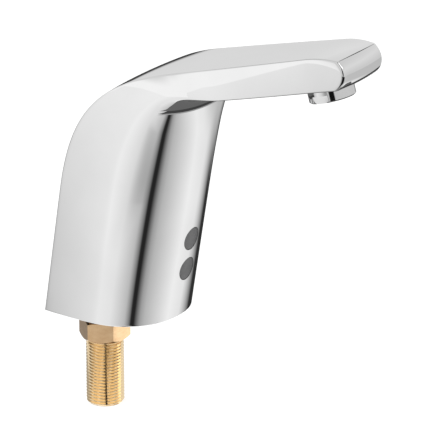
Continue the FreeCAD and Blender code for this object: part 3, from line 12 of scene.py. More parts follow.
import bmesh
import bpy
import numpy as np
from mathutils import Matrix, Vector


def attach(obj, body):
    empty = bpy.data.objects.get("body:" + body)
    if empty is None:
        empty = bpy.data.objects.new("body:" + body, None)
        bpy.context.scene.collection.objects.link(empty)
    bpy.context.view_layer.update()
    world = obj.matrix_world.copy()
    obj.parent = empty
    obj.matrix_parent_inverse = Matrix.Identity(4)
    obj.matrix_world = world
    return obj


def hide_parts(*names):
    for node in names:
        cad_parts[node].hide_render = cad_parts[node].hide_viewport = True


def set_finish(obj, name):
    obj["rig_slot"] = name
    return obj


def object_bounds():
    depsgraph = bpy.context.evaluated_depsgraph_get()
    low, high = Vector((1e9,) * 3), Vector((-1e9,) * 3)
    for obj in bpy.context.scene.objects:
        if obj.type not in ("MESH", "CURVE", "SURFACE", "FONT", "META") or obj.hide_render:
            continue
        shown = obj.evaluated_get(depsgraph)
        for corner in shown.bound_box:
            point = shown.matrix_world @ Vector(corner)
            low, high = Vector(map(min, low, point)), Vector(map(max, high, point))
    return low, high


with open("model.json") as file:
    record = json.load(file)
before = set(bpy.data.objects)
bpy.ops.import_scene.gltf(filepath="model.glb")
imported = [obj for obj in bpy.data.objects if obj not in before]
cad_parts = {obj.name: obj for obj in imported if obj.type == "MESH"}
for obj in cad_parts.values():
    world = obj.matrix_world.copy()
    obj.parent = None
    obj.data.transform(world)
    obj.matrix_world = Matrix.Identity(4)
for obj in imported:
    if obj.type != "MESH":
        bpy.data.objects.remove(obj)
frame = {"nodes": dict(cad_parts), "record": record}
nodes = frame["nodes"]
cad_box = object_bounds()
print(len(nodes), "nodes; box", cad_box)

# %% [markdown]
# ## The camera
# The photograph looks down on the tap from its left front with a long lens. The camera
# stands two metres off at the same angle, so upright edges stay nearly parallel.

# %% Camera
def placed(name, data):
    """An object that holds data, linked into the scene."""
    piece = bpy.data.objects.new(name, data)
    bpy.context.scene.collection.objects.link(piece)
    return piece


def direction(azimuth, elevation):
    """A unit step at a bearing and a height in degrees, bearing 0 straight ahead of the tap."""
    turn, rise = math.radians(azimuth), math.radians(elevation)
    flat = math.cos(rise)
    return Vector((math.sin(turn) * flat, -math.cos(turn) * flat, math.sin(rise)))


AZIMUTH, ELEVATION = -57.55, 20.16
AIM = Vector((0.0, -0.0717, 0.0624))
DISTANCE = 2.0
LENS = 314.7                       # mm, on a 36 mm sensor

towards_camera = direction(AZIMUTH, ELEVATION)
camera = placed("camera", bpy.data.cameras.new("camera"))
camera.data.lens = LENS
camera.data.sensor_width = 36.0
camera.data.clip_end = 20.0
camera.location = AIM + towards_camera * DISTANCE
camera.rotation_euler = towards_camera.to_track_quat("Z", "Y").to_euler()
bpy.context.scene.camera = camera
print("camera at", [round(c, 3) for c in camera.location])

# %% [markdown]
# ## From arrays to a mesh
# Every new piece here is worked out as whole arrays of points in millimetres and a list of
# four- or three-cornered faces. One function turns them into a closed mesh in metres, faces
# outwards, smooth where the surface is smooth and sharp where two faces meet at an angle.

# %% One closed mesh from points and faces
MM = 0.001
SHARP_ANGLE = math.radians(32)


def closed_piece(name, points, faces, body, node, slot):
    """Make a piece from points in mm and faces, put in place of one CAD node."""
    mesh = bpy.data.meshes.new(name)
    mesh.from_pydata((np.asarray(points) * MM).tolist(), [], faces)
    builder = bmesh.new()
    builder.from_mesh(mesh)
    bmesh.ops.remove_doubles(builder, verts=builder.verts, dist=1e-7)
    bmesh.ops.recalc_face_normals(builder, faces=builder.faces)
    builder.to_mesh(mesh)
    builder.free()
    mesh.shade_smooth()
    mesh.set_sharp_from_angle(angle=SHARP_ANGLE)
    piece = placed(name, mesh)
    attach(piece, body)
    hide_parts(node)
    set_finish(piece, slot)
    print(name, len(mesh.vertices), "points", len(mesh.polygons), "faces")
    return piece


def rows_of_faces(rows, columns, first=0, around=True, keep=None):
    """Faces between the rows of a grid of points; around joins the last column to the first."""
    ids = first + np.arange(rows * columns).reshape(rows, columns)
    beside = np.roll(ids, -1, axis=1) if around else ids[:, 1:]
    near = ids if around else ids[:, :-1]
    quads = np.stack([near[:-1], beside[:-1], beside[1:], near[1:]], axis=2)
    if keep is not None:
        quads = quads[keep]
    return quads.reshape(-1, 4).tolist()


def between_loops(one, other):
    """Faces between two closed loops of as many points."""
    one, other = np.asarray(one), np.asarray(other)
    return np.stack([one, np.roll(one, -1), np.roll(other, -1), other], axis=1).tolist()


# %% [markdown]
# ## The casting's form
# Seen from the side the tap is two lines. The outer line is the column's back, a soft bend
# and the top; the inner line is the column's front, a tight throat and the underside. A
# number s runs along both: 0 at the foot, 1 up the column, 2 at the throat, 3 where the
# spout begins to level, and on to the nose. At each s a closed outline joins the two lines.
# A crowned flat makes the back, a straight flank each side, and one rounded curve the front.
# Working the surface out from its formula keeps the chrome free of the ripples that a
# subdivided cage would show.

# %% The two lines in the side view
BACK_REACH, FRONT_REACH = 17.0, 48.9
BACK_LEAN, FRONT_LEAN = math.radians(8.36), math.radians(10.0)
TOP_SLOPE, UNDER_SLOPE = math.radians(14.22), math.radians(13.1)
TOP_HEIGHT, UNDER_HEIGHT = 131.3, 115.1
BEND_REACH, BEND_FULLNESS = 60.0, 0.737
THROAT_RADIUS, THROAT_PLACE, COLUMN_HEIGHT = 9.0, 1.7, 72.0
LEVEL_REACH, LEVEL_RUN, LEVEL_RADIUS = 139.0, 24.1, 50.0
LEVELLED, UNDER_RUN = 0.84, 0.31
NOSE_REACH, NOSE_RADIUS, NOSE_BOW = 163.1, 9.0, 150.0


def heading(angle):
    """A unit step in the side view: cosine forward, sine up."""
    angle = np.asarray(angle, float)
    return np.stack([np.cos(angle), np.sin(angle)], axis=-1)


def full_turn(count):
    """Count angles spread evenly over a whole turn."""
    return np.linspace(0, 2 * math.pi, count + 1)[:-1]


def crossing(foot, lean, height, slope):
    """Where a line leaning from the deck meets a sloping line."""
    reach = (foot + math.tan(lean) * height) / (1 - math.tan(lean) * math.tan(slope))
    return np.array([reach, height + math.tan(slope) * reach])


def outer_line(s):
    """Back and top: a line, a cubic whose pulls lie along both lines, a line, then an arc."""
    s = np.asarray(s, float)[..., None]
    corner = crossing(-BACK_REACH, BACK_LEAN, TOP_HEIGHT, TOP_SLOPE)
    up, ahead = heading(math.pi / 2 - BACK_LEAN), heading(TOP_SLOPE)
    foot = np.array([-BACK_REACH, 0.0])
    low, high = corner - up * BEND_REACH, corner + ahead * BEND_REACH
    end = np.array([LEVEL_REACH, TOP_HEIGHT + math.tan(TOP_SLOPE) * LEVEL_REACH])
    t, pull = s - 1, BEND_FULLNESS * BEND_REACH
    bend = (low * (1 - t) ** 3 + (low + up * pull) * (3 * (1 - t) ** 2 * t)
            + (high - ahead * pull) * (3 * (1 - t) * t * t) + high * t ** 3)
    start = math.pi / 2 + TOP_SLOPE
    angle = start - (s[..., 0] - 3) * LEVEL_RUN * LEVELLED / LEVEL_RADIUS
    arc = end - heading(start) * LEVEL_RADIUS + heading(angle) * LEVEL_RADIUS
    return np.where(s <= 1, foot + (low - foot) * s,
                    np.where(s <= 2, bend, np.where(s <= 3, high + (end - high) * (s - 2), arc)))


def inner_line(s):
    """Front and underside: two lines joined by a circular arc, the throat."""
    s = np.asarray(s, float)[..., None]
    corner = crossing(FRONT_REACH, FRONT_LEAN, UNDER_HEIGHT, UNDER_SLOPE)
    turn = math.pi / 2 - FRONT_LEAN - UNDER_SLOPE
    set_back = THROAT_RADIUS * math.tan(turn / 2)
    below = corner - heading(math.pi / 2 - FRONT_LEAN) * set_back
    beyond = corner + heading(UNDER_SLOPE) * set_back
    foot = np.array([FRONT_REACH, 0.0])
    column = foot + np.array([math.tan(FRONT_LEAN), 1.0]) * COLUMN_HEIGHT
    end = np.array([LEVEL_REACH, UNDER_HEIGHT + math.tan(UNDER_SLOPE) * LEVEL_REACH])
    straight = column + (below - column) * ((s - 1) / (THROAT_PLACE - 1))
    angle = -FRONT_LEAN - turn * (s[..., 0] - THROAT_PLACE) / (2 - THROAT_PLACE)
    arc = below + heading(-FRONT_LEAN) * THROAT_RADIUS - heading(angle) * THROAT_RADIUS
    return np.where(
        s <= 1, foot + (column - foot) * s,
        np.where(s <= THROAT_PLACE, straight,
                 np.where(s <= 2, arc,
                          np.where(s <= 3, beyond + (end - beyond) * (s - 2),
                                   end + (end - beyond) * (s - 3) * UNDER_RUN))))


print("foot to bend:", outer_line([0.0, 1.0, 2.0]).round(1).tolist())

# %% How the outline changes along the body
KNOTS = np.array([0.0, 1.0, 1.5, 1.8, 2.0, 2.25, 3.0, 4.0])
EDGE_HALF = [32.7, 31.9, 30.8, 29.0, 27.0, 25.9, 21.1, 18.9]     # half width of the back
WIDEST_HALF = [34.9, 32.8, 30.6, 29.3, 28.0, 26.8, 22.0, 19.9]   # half width of the widest place
WIDEST_SHARE = [0.478, 0.45, 0.46, 0.55, 0.75, 0.88, 0.90, 0.90]  # how far forward that place is
FLANK_POWER = [2.15, 2.2, 2.3, 2.7, 3.4, 4.6, 5.0, 5.0]
FRONT_POWER = [2.25, 2.25, 2.3, 2.7, 3.4, 4.6, 5.0, 5.0]
CROWN = [1.0, 1.5, 1.5, 1.2, 0.8, 0.5, 0.4, 0.4]
BACK_ROUNDING = 0.55    # mm, how far the rounding of the back's edges reaches


# millimetres travelled up to each s, the mean of both lines, so that nothing kinks where
# the lines change pace
LAST_PLACE = 4.4
travel_places = np.linspace(0, LAST_PLACE, 4401)
strides = [np.linalg.norm(np.diff(line(travel_places), axis=0), axis=1)
           for line in (outer_line, inner_line)]
travel = np.concatenate([[0], np.cumsum((strides[0] + strides[1]) / 2)])
KNOTS_MM = np.interp(KNOTS, travel_places, travel)
print("length along the middle:", round(float(travel[-1]), 1), "mm")


def smooth_through(values, s):
    """A cubic through one value per knot whose slopes never make it overshoot."""
    s = np.interp(s, travel_places, travel)
    values, steps = np.array(values), np.diff(KNOTS_MM)
    rises = np.diff(values) / steps
    near, far = steps[:-1] + 2 * steps[1:], 2 * steps[:-1] + steps[1:]
    same_way = rises[:-1] * rises[1:] > 0
    left, right = np.where(same_way, rises[:-1], 1), np.where(same_way, rises[1:], 1)
    middle = np.where(same_way, (near + far) / (near / left + far / right), 0)
    slopes = np.concatenate([rises[:1], middle, rises[-1:]])
    i = np.clip(np.searchsorted(KNOTS_MM, s, side="right") - 1, 0, len(steps) - 1)
    t = (s - KNOTS_MM[i]) / steps[i]
    return (values[i] * (1 + 2 * t) * (1 - t) ** 2 + values[i + 1] * t * t * (3 - 2 * t)
            + slopes[i] * steps[i] * t * (1 - t) ** 2 - slopes[i + 1] * steps[i] * t * t * (1 - t))


def front_curve(turn, flank, nose):
    """A point of the curve x to the power flank plus y to the power nose equals one, in the
    direction turn, found by five Newton steps on its distance."""
    cosine, sine = np.abs(np.cos(turn)) + 1e-12, np.abs(np.sin(turn)) + 1e-12
    power = (flank + nose) / 2
    reach = (cosine ** power + sine ** power) ** (-1 / power)
    for _ in range(5):
        a, b = (reach * cosine) ** flank, (reach * sine) ** nose
        reach = reach - (a + b - 1) / ((flank * a + nose * b) / reach)
    return reach * cosine, reach * sine


def body_point(s, c, inset=0.0):
    """A point of the body's surface, drawn in by inset. The size of c tells where on the
    outline: 0 to 1 the front, to 2 the flank, to 3 the rounded edge, to 4 the back; its sign
    tells the side."""
    s, c = np.broadcast_arrays(np.asarray(s, float), np.asarray(c, float))
    start, end = outer_line(s), inner_line(s)
    depth = np.linalg.norm(end - start, axis=-1)
    across = (end - start) / depth[..., None]
    edge, half = smooth_through(EDGE_HALF, s) - inset, smooth_through(WIDEST_HALF, s) - inset
    widest = smooth_through(WIDEST_SHARE, s) * depth
    crown = smooth_through(CROWN, s)
    part = np.abs(c)

    x, y = front_curve(math.pi / 2 * (1 - np.clip(part, 0, 1)),
                       smooth_through(FLANK_POWER, s), smooth_through(FRONT_POWER, s))
    front = x * half, widest + y * (depth - inset - widest)

    def flank_at(share):
        return half - (half - edge) * (1 - share) ** 2, inset + (widest - inset) * share

    def back_at(share):
        return edge * share, inset - crown * (1 - share ** 2)

    flank_stop, back_stop = BACK_ROUNDING / (widest - inset), 1 - BACK_ROUNDING / edge
    flank = flank_at(1 - (1 - flank_stop) * np.clip(part - 1, 0, 1))
    back = back_at(back_stop * (1 - np.clip(part - 3, 0, 1)))
    u = np.clip(part - 2, 0, 1)
    ends = flank_at(flank_stop), (edge, inset + 0 * edge), back_at(back_stop)
    rounded = [(1 - u) ** 2 * p + 2 * u * (1 - u) * q + u * u * r for p, q, r in zip(*ends)]
    x, t = [np.where(part <= 1, f, np.where(part <= 2, k, np.where(part <= 3, e, b)))
            for f, k, e, b in zip(front, flank, rounded, back)]
    side = start + across * t[..., None]
    return np.stack([x * np.where(c < 0, -1.0, 1.0), -side[..., 0], side[..., 1]], axis=-1)


print("widest at the foot:", body_point(0.0, 1.0).round(2).tolist())

# %% [markdown]
# ## The nose
# The spout ends in a face turned about an upright line 150 mm behind it, so that it bows a
# little in plan. Its profile is a nine-millimetre arc. Each line along the body stops where
# it meets that surface, and the last stretch is rounded over by a short curve. The rounding
# is widest at the sides, where it gathers the room into a black line beside the nose.

# %% The nose's surface
NOSE_AXIS = NOSE_REACH - NOSE_BOW
NOSE_DROP = 0.3                # mm, the arc's centre below where it would meet the underside
ARC_CENTRE = NOSE_BOW - NOSE_RADIUS
NOSE_HEIGHT = (UNDER_HEIGHT + math.tan(UNDER_SLOPE) * (NOSE_REACH - NOSE_RADIUS)
               + NOSE_RADIUS / math.cos(UNDER_SLOPE) - NOSE_DROP)


def past_nose(points):
    """How far points lie in front of the nose's surface, in mm; negative inside."""
    out = np.hypot(points[..., 0], -points[..., 1] - NOSE_AXIS)
    up = np.clip((points[..., 2] - NOSE_HEIGHT) / NOSE_RADIUS, -1, 1)
    return out - ARC_CENTRE - NOSE_RADIUS * np.sqrt(1 - up ** 2)


def nose_point(x, angle):
    """A point of the nose: its distance aside, and the angle up its arc."""
    out = ARC_CENTRE + NOSE_RADIUS * np.cos(angle)
    return np.stack([x, -(NOSE_AXIS + np.sqrt(out ** 2 - x ** 2)),
                     NOSE_HEIGHT + NOSE_RADIUS * np.sin(angle)], axis=-1)


def nose_place(c):
    """The s at which each line along the body meets the nose, by halving."""
    low, high = np.full(np.shape(c), 2.9), np.full(np.shape(c), 4.3)
    for _ in range(40):
        middle = (low + high) / 2
        inside = past_nose(body_point(middle, c)) < 0
        low, high = np.where(inside, middle, low), np.where(inside, high, middle)
    return low


print("nose met at s =", nose_place(np.array([0.0, 1.5, 4.0])).round(3).tolist())

# %% [markdown]
# ## A grid with round openings
# The wall is three millimetres thick, so the outer and the inner surface share one grid of
# s and c, and both carry the same openings: two sensor windows and the aerator's socket. A
# block of the grid is left out round each, and rings of faces lead from the block's edge
# to the true circle, every point of them on the surface. So the holes cost no Boolean, and
# the reflections run straight up to their rims.

# %% Rows and columns
ROW_STEP = 1.25                # mm between rows, about
TIP_START = 2.6                # from here the rows bend towards the nose's outline
TIP_STOP = 3.9
EDGE_ROWS = 9
CAP_ROWS = 14
CAVITY_STOP = 2.7
WALL = 3.0

tip_travel = np.interp(TIP_STOP, travel_places, travel)
row_travel = np.linspace(0, tip_travel, int(tip_travel / ROW_STEP))
row_places = np.interp(row_travel, travel, travel_places)
FOOT_ROUNDING = 0.6            # mm, the softened edge of the foot
foot_rows = np.array([0.04, 0.15, 0.35, 0.6]) / COLUMN_HEIGHT
row_places = np.concatenate([row_places[:1], foot_rows, row_places[1:]])
row_count = len(row_places)

# columns of one side: its front, flank, rounded edge and back
one_side = np.concatenate([
    np.linspace(0, 1, 57)[:-1], np.linspace(1, 2, 23)[:-1],
    np.linspace(2, 3, 7)[:-1], np.linspace(3, 4, 17),
])
column_places = np.concatenate([one_side[1:], -one_side[::-1][1:]])
column_places = np.roll(column_places, -(len(one_side) - 1))
columns = len(column_places)
tip_places = nose_place(column_places)
# mm, how far the rounding of the nose's outline reaches, by the size of c
EDGE_REACH = np.interp(np.abs(column_places), [0.4, 0.8, 2.0, 3.0], [0.4, 2.1, 2.1, 0.4])
print(row_count, "rows,", columns, "columns")


def grid_places(stop):
    """s for each row and column; past TIP_START the rows fan out to end at stop."""
    rows = row_places[:, None] + 0 * column_places
    share = (rows - TIP_START) / (TIP_STOP - TIP_START)
    return np.where(rows <= TIP_START, rows, TIP_START + share * (stop - TIP_START))


# %% Circles on the surface
def lean_frame(reach, height, up_angle):
    """A centre and two flat directions: sideways, and one in the side view."""
    step = heading(up_angle)
    return (np.array([0.0, -reach, height]),
            np.array([[1.0, 0.0, 0.0], [0.0, -step[0], step[1]]]))


def window_frame(up):
    reach = FRONT_REACH + up * math.sin(FRONT_LEAN)
    return lean_frame(reach, up * math.cos(FRONT_LEAN), math.pi / 2 - FRONT_LEAN)


AERATOR_TILT = math.radians(16.0)
AERATOR_BACK, AERATOR_DROP = 19.3, 7.66        # mm from the nose, and below the underside
AERATOR_REACH = NOSE_REACH - AERATOR_BACK
AERATOR_HEIGHT = UNDER_HEIGHT + math.tan(UNDER_SLOPE) * AERATOR_REACH - AERATOR_DROP
WINDOW_HOLE = 6.66
SOCKET_RADIUS, THREAD_SOCKET_RADIUS = 12.55, 11.45
SHELF_UP, SOCKET_TOP = 7.92, 16.3
UPPER_WINDOW, LOWER_WINDOW = 46.8, 28.7

# each opening: its frame, its radius, and how far its block of the grid reaches from the centre
OPENINGS = {
    "upper window": (window_frame(UPPER_WINDOW), WINDOW_HOLE, 8.6),
    "lower window": (window_frame(LOWER_WINDOW), WINDOW_HOLE, 8.6),
    "aerator": (lean_frame(AERATOR_REACH, AERATOR_HEIGHT, AERATOR_TILT), SOCKET_RADIUS, 14.2),
}


def flat_place(points, centre_and_axes):
    """Points seen along an opening's own axis, as two numbers in its flat frame."""
    centre, axes = centre_and_axes
    return (points - centre) @ axes.T


def on_circle(places, frame_, targets, inset):
    """Newton steps for the s and c whose surface points lie at targets in the flat frame."""
    places = places.copy()
    step = 1e-4
    for _ in range(12):
        here = flat_place(body_point(places[:, 0], places[:, 1], inset), frame_)
        miss = targets - here
        by_s, by_c = [
            (flat_place(body_point(*(places + aside).T, inset), frame_) - here) / step
            for aside in ((step, 0.0), (0.0, step))]
        spread = by_s[:, 0] * by_c[:, 1] - by_s[:, 1] * by_c[:, 0]
        places[:, 0] += (miss[:, 0] * by_c[:, 1] - miss[:, 1] * by_c[:, 0]) / spread
        places[:, 1] += (by_s[:, 0] * miss[:, 1] - by_s[:, 1] * miss[:, 0]) / spread
    return places


RING_ROWS = 5


def skin(inset, places, openings, first):
    """One surface of the wall: its points, faces, and each opening's rim in the same order."""
    rows = len(places)
    signed = np.broadcast_to(column_places, places.shape)
    low = np.clip(1 - places * COLUMN_HEIGHT / FOOT_ROUNDING, 0, 1)
    rounding = FOOT_ROUNDING * (1 - np.sqrt(1 - low ** 2)) if inset == 0 else 0.0
    points = body_point(places, signed, inset + rounding)
    keep = np.ones((rows - 1, columns), bool)
    extra, faces, rims = [], [], {}
    total = rows * columns
    for name in openings:
        frame_, radius, reach = OPENINGS[name]
        flat = flat_place(body_point(places, signed, 0.0), frame_)
        front = np.abs(signed) < 1
        inside = (np.abs(flat[..., 0]) < reach) & (np.abs(flat[..., 1]) < reach) & front
        r, k = np.nonzero(inside)
        r0, r1 = r.min(), r.max()
        order = np.argsort(column_places)
        picked = order[np.isin(order, k)].tolist()
        cells = picked[:-1]
        keep[r0:r1, cells] = False
        loop = ([(r0, j) for j in picked] + [(i, picked[-1]) for i in range(r0 + 1, r1 + 1)]
                + [(r1, j) for j in picked[-2::-1]]
                + [(i, picked[0]) for i in range(r1 - 1, r0, -1)])
        loop = np.array(loop)
        ids = first + loop[:, 0] * columns + loop[:, 1]
        edge = np.stack([places[loop[:, 0], loop[:, 1]], column_places[loop[:, 1]]], axis=1)
        seen = flat_place(body_point(edge[:, 0], edge[:, 1], 0.0), frame_)
        turn = np.arctan2(seen[:, 1], seen[:, 0])
        target = radius * heading(turn)
        guess = edge.mean(0) + (edge - edge.mean(0)) * (radius / reach)
        circle = on_circle(guess, frame_, target, inset)
        for share in np.linspace(0, 1, RING_ROWS + 1)[1:]:
            ring = edge + (circle - edge) * share
            extra.append(body_point(ring[:, 0], ring[:, 1], inset))
            new = first + total + np.arange(len(ring))
            faces += between_loops(ids, new)
            ids, total = new, total + len(ring)
        rims[name] = (ids, circle)
    faces += rows_of_faces(rows, columns, first, keep=keep)
    points = np.concatenate([points.reshape(-1, 3)] + extra)
    return points, faces, rims


# %% Edge of the nose, and the cap inside it
def short_of(stop, distance):
    """The s that lies a distance in mm before stop on each line along the body."""
    step = 1e-3
    pace = np.linalg.norm(body_point(stop, column_places)
                          - body_point(stop - step, column_places), axis=1) / step
    return stop - distance / pace


edge_points = body_point(tip_places, column_places)
edge_angle = np.arcsin(np.clip((edge_points[:, 2] - NOSE_HEIGHT) / NOSE_RADIUS, -1, 1))
middle_angle = (edge_angle.max() + edge_angle.min()) / 2


def cap_row(share):
    """The nose's outline drawn in towards its middle by share."""
    return nose_point(edge_points[:, 0] * share, middle_angle + (edge_angle - middle_angle) * share)


cap_pace = np.linalg.norm(cap_row(1.0) - cap_row(0.99), axis=1) / 0.01
first_cap = 1 - EDGE_REACH / cap_pace.clip(EDGE_REACH * 2)
cap_start = cap_row(first_cap)
last_places = short_of(tip_places, EDGE_REACH)
before_edge = body_point(last_places, column_places)
nose_rows = []
for u in np.linspace(0, 1, EDGE_ROWS + 2)[1:]:
    nose_rows.append((1 - u) ** 2 * before_edge + 2 * u * (1 - u) * edge_points + u * u * cap_start)
for share in np.linspace(1, 0, CAP_ROWS + 1)[1:-1]:
    nose_rows.append(cap_row(first_cap * share))
nose_middle = nose_point(np.array([0.0]), np.array([middle_angle]))
print("nose reaches", round(float(-nose_middle[0, 1]), 2), "mm")

# %% The whole casting
outer_points, outer_faces, outer_rims = skin(0.0, grid_places(last_places), OPENINGS, 0)
inner_rows = row_places[row_places < CAVITY_STOP]
inner_places = np.repeat(inner_rows[:, None], columns, axis=1)
inner_points, inner_faces, inner_rims = skin(
    WALL, inner_places, ["upper window", "lower window"], len(outer_points))

points = [outer_points, inner_points]
faces = outer_faces + inner_faces
total = len(outer_points) + len(inner_points)


def add_rows(rows, join_to):
    """Closed rows of points that go on from a loop of ids; returns the last row's ids."""
    global total
    for row in rows:
        ids = total + np.arange(len(row))
        faces.extend(between_loops(join_to, ids))
        points.append(row)
        total, join_to = total + len(row), ids
    return join_to


def close_with(point, loop):
    """A fan of triangles from one point to a closed loop of ids."""
    global total
    points.append(np.reshape(point, (1, 3)))
    loop = np.asarray(loop)
    faces.extend(np.stack([loop, np.roll(loop, -1), np.full(len(loop), total)], axis=1).tolist())
    total += 1


top_row = (row_count - 1) * columns + np.arange(columns)
close_with(nose_middle, add_rows(nose_rows, top_row))
inner_top = len(outer_points) + (len(inner_rows) - 1) * columns + np.arange(columns)
close_with(inner_points[inner_top - len(outer_points)].mean(0), inner_top)
faces += between_loops(np.arange(columns), len(outer_points) + np.arange(columns))
for name in inner_rims:
    faces += between_loops(outer_rims[name][0], inner_rims[name][0])

# the aerator's socket: up the counterbore to its shelf, in to the thread, up to the floor
socket_centre, socket_axes = OPENINGS["aerator"][0]
socket_up = np.cross(socket_axes[0], socket_axes[1])
socket_up = socket_up * np.sign(socket_up[2])
rim_ids, rim_places = outer_rims["aerator"]
rim_points = body_point(rim_places[:, 0], rim_places[:, 1])
rim_flat = flat_place(rim_points, OPENINGS["aerator"][0])
rim_turn = np.arctan2(rim_flat[:, 1], rim_flat[:, 0])
rim_up = (rim_points - socket_centre) @ socket_up


def socket_row(radius, up, turn=rim_turn):
    """A row of points about the socket's axis, at radius and up, one for each angle."""
    flat = np.reshape(radius, (-1, 1)) * heading(turn)
    return socket_centre + flat @ socket_axes + np.reshape(up, (-1, 1)) * socket_up


shelf = np.maximum(rim_up + 0.02, SHELF_UP)
floor_row = add_rows([socket_row(SOCKET_RADIUS, shelf), socket_row(THREAD_SOCKET_RADIUS, shelf),
                      socket_row(THREAD_SOCKET_RADIUS, SOCKET_TOP)], rim_ids)
close_with(socket_centre + SOCKET_TOP * socket_up, floor_row)

# four bosses inside the foot take the screws
BOSS_SPOTS = [(27.6, 6.0), (-27.6, 6.0), (21.5, 33.2), (-21.5, 33.2)]
BOSS_RADIUS, BOSS_BORE, BOSS_LOW, BOSS_TOP, BORE_TOP = 5.6, 1.9, 6.5, 13.5, 13.0
around = heading(full_turn(32))
boss_outline = [(BOSS_BORE, BOSS_LOW), (BOSS_RADIUS, BOSS_LOW), (BOSS_RADIUS, BOSS_TOP)]
for x, reach in BOSS_SPOTS:
    spot = np.array([x, -reach])
    rings = [np.c_[spot + around * r, np.full(len(around), z)]
             for r, z in [(BOSS_BORE, BORE_TOP)] + boss_outline]
    start = total + np.arange(len(around))
    points.append(rings[0])
    total += len(around)
    close_with((x, -reach, BOSS_TOP), add_rows(rings[1:], start))
    close_with((x, -reach, BORE_TOP), start)

casting = closed_piece(
    "casting", np.concatenate(points), faces, "tap", "body_shell", "chrome_shell")

# %% [markdown]
# ## The brass shank
# The shank is turned from hexagon bar and threaded to half-inch pipe size: 14 threads to the
# inch, rounded crests and roots. Its surface is one radius worked out for every angle and
# height. The thread is a rounded triangle wave that moves up one pitch per turn, so it
# is a true helix, and the hexagon is the smaller of its flat's distance and a cone's.

# %% Thread, hexagon, neck and bores as one closed grid
THREAD_RADIUS, THREAD_DEPTH, PITCH = 10.4775, 1.162, 1.814
SHANK_END, THREAD_TOP, HEX_TOP = -60.6, -22.6, -11.0
HEX_HALF, HEX_TURN = 12.4, math.radians(53.0)
ROWS_PER_PITCH = 14
END_CHAMFER, RUN_OUT = 1.2, 1.6
WAVE_SHARPNESS = 0.94          # nearer to 1 makes the crests and roots sharper
# radius and height of each ring above the hexagon, and back down the inside
UPPER_PROFILE = [
    (9.9, HEX_TOP), (9.9, 0.0), (12.3, 0.0), (12.3, 1.5),       # neck and collar
    (10.2, 1.5), (10.2, 12.0), (7.0, 12.0), (7.0, 23.5),        # upper thread and spigot
    (4.6, 23.5), (4.6, -7.0), (7.6, -7.0), (7.6, -59.1),        # bores
    (8.2, -59.1), (8.2, SHANK_END),                             # mouth
]
turns = HEX_TURN + full_turn(144)


def turned_piece(name, rows, node, slot):
    """A piece on the tap's body from closed rows of points, the last joined to the first."""
    shape = len(rows), len(rows[0])
    ids = np.arange(shape[0] * shape[1]).reshape(shape)
    shell = rows_of_faces(*shape) + between_loops(ids[-1], ids[0])
    return closed_piece(name, np.concatenate(rows), shell, "tap", node, slot)


def plain_row(radius, z):
    radius, z = np.broadcast_arrays(np.asarray(radius, float), np.asarray(z, float) + 0 * turns)
    return np.c_[radius[:, None] * heading(turns), z]


def thread_row(z):
    """One row of the thread: the wave's phase is the angle, less one turn per pitch of height."""
    wave = np.sin(turns - 2 * math.pi * z / PITCH)
    rounded = np.arcsin(WAVE_SHARPNESS * wave) / math.asin(WAVE_SHARPNESS)
    near_end = np.clip((z - SHANK_END) / END_CHAMFER, 0, 1)
    run_out = np.clip((THREAD_TOP - z) / RUN_OUT, 0, 1)
    depth = THREAD_DEPTH * run_out
    radius = THREAD_RADIUS - depth / 2 * (1 - rounded)
    return plain_row(np.minimum(radius, THREAD_RADIUS - END_CHAMFER * (1 - near_end)), z)


flat_distance = HEX_HALF / np.cos((turns - HEX_TURN) % (math.pi / 3) - math.pi / 6)
LOW_IN, LOW_RISE, HIGH_DROP, HIGH_OUT = 0.8, 2.2, 0.9, 0.4
PAST_CORNERS = HEX_HALF * 1.16     # a little beyond the corners, where the cones end
low_share = (flat_distance - HEX_HALF + LOW_IN) / (PAST_CORNERS - HEX_HALF + LOW_IN)
low_meet = THREAD_TOP + LOW_RISE * low_share
high_share = (flat_distance - HEX_HALF - HIGH_OUT).clip(0) / (PAST_CORNERS - HEX_HALF - HIGH_OUT)
high_meet = HEX_TOP - HIGH_DROP * high_share
thread_rows = [thread_row(z) for z in np.linspace(
    SHANK_END, THREAD_TOP - 0.05, int((THREAD_TOP - SHANK_END) / PITCH * ROWS_PER_PITCH))]
shank_rows = thread_rows + [
    plain_row(THREAD_RADIUS, THREAD_TOP),
    plain_row(HEX_HALF - LOW_IN, THREAD_TOP),
    plain_row(flat_distance, low_meet),
    *[plain_row(flat_distance, low_meet + (high_meet - low_meet) * share)
      for share in (0.25, 0.5, 0.75)],
    plain_row(flat_distance, high_meet),
    plain_row(np.minimum(flat_distance, HEX_HALF + HIGH_OUT), HEX_TOP),
] + [plain_row(r, z) for r, z in UPPER_PROFILE]
shank = turned_piece("threaded_shank", shank_rows, "inlet_shank", "shank_brass")

# %% [markdown]
# ## The aerator's ring
# A chromed ring screws up into the spout. Two flats for a spanner are milled into its rim.
# It is turned about its own leaning axis, with columns placed at the flats' ends, so their
# ledges come out crisp.

# %% Aerator ring
RING_RADIUS, FLAT_HALF, FLAT_HEIGHT, RING_CHAMFER = 12.4, 11.5, 3.9, 0.6
flat_turn = math.acos(FLAT_HALF / RING_RADIUS)
flat_part, round_part = np.linspace(-flat_turn, flat_turn, 17)[:-1], np.linspace(
    flat_turn, math.pi - flat_turn, 49)[:-1]
ring_turns = np.concatenate([flat_part, round_part, flat_part + math.pi, round_part + math.pi])
to_flat = np.minimum(RING_RADIUS, FLAT_HALF / np.abs(np.cos(ring_turns)).clip(1e-6))
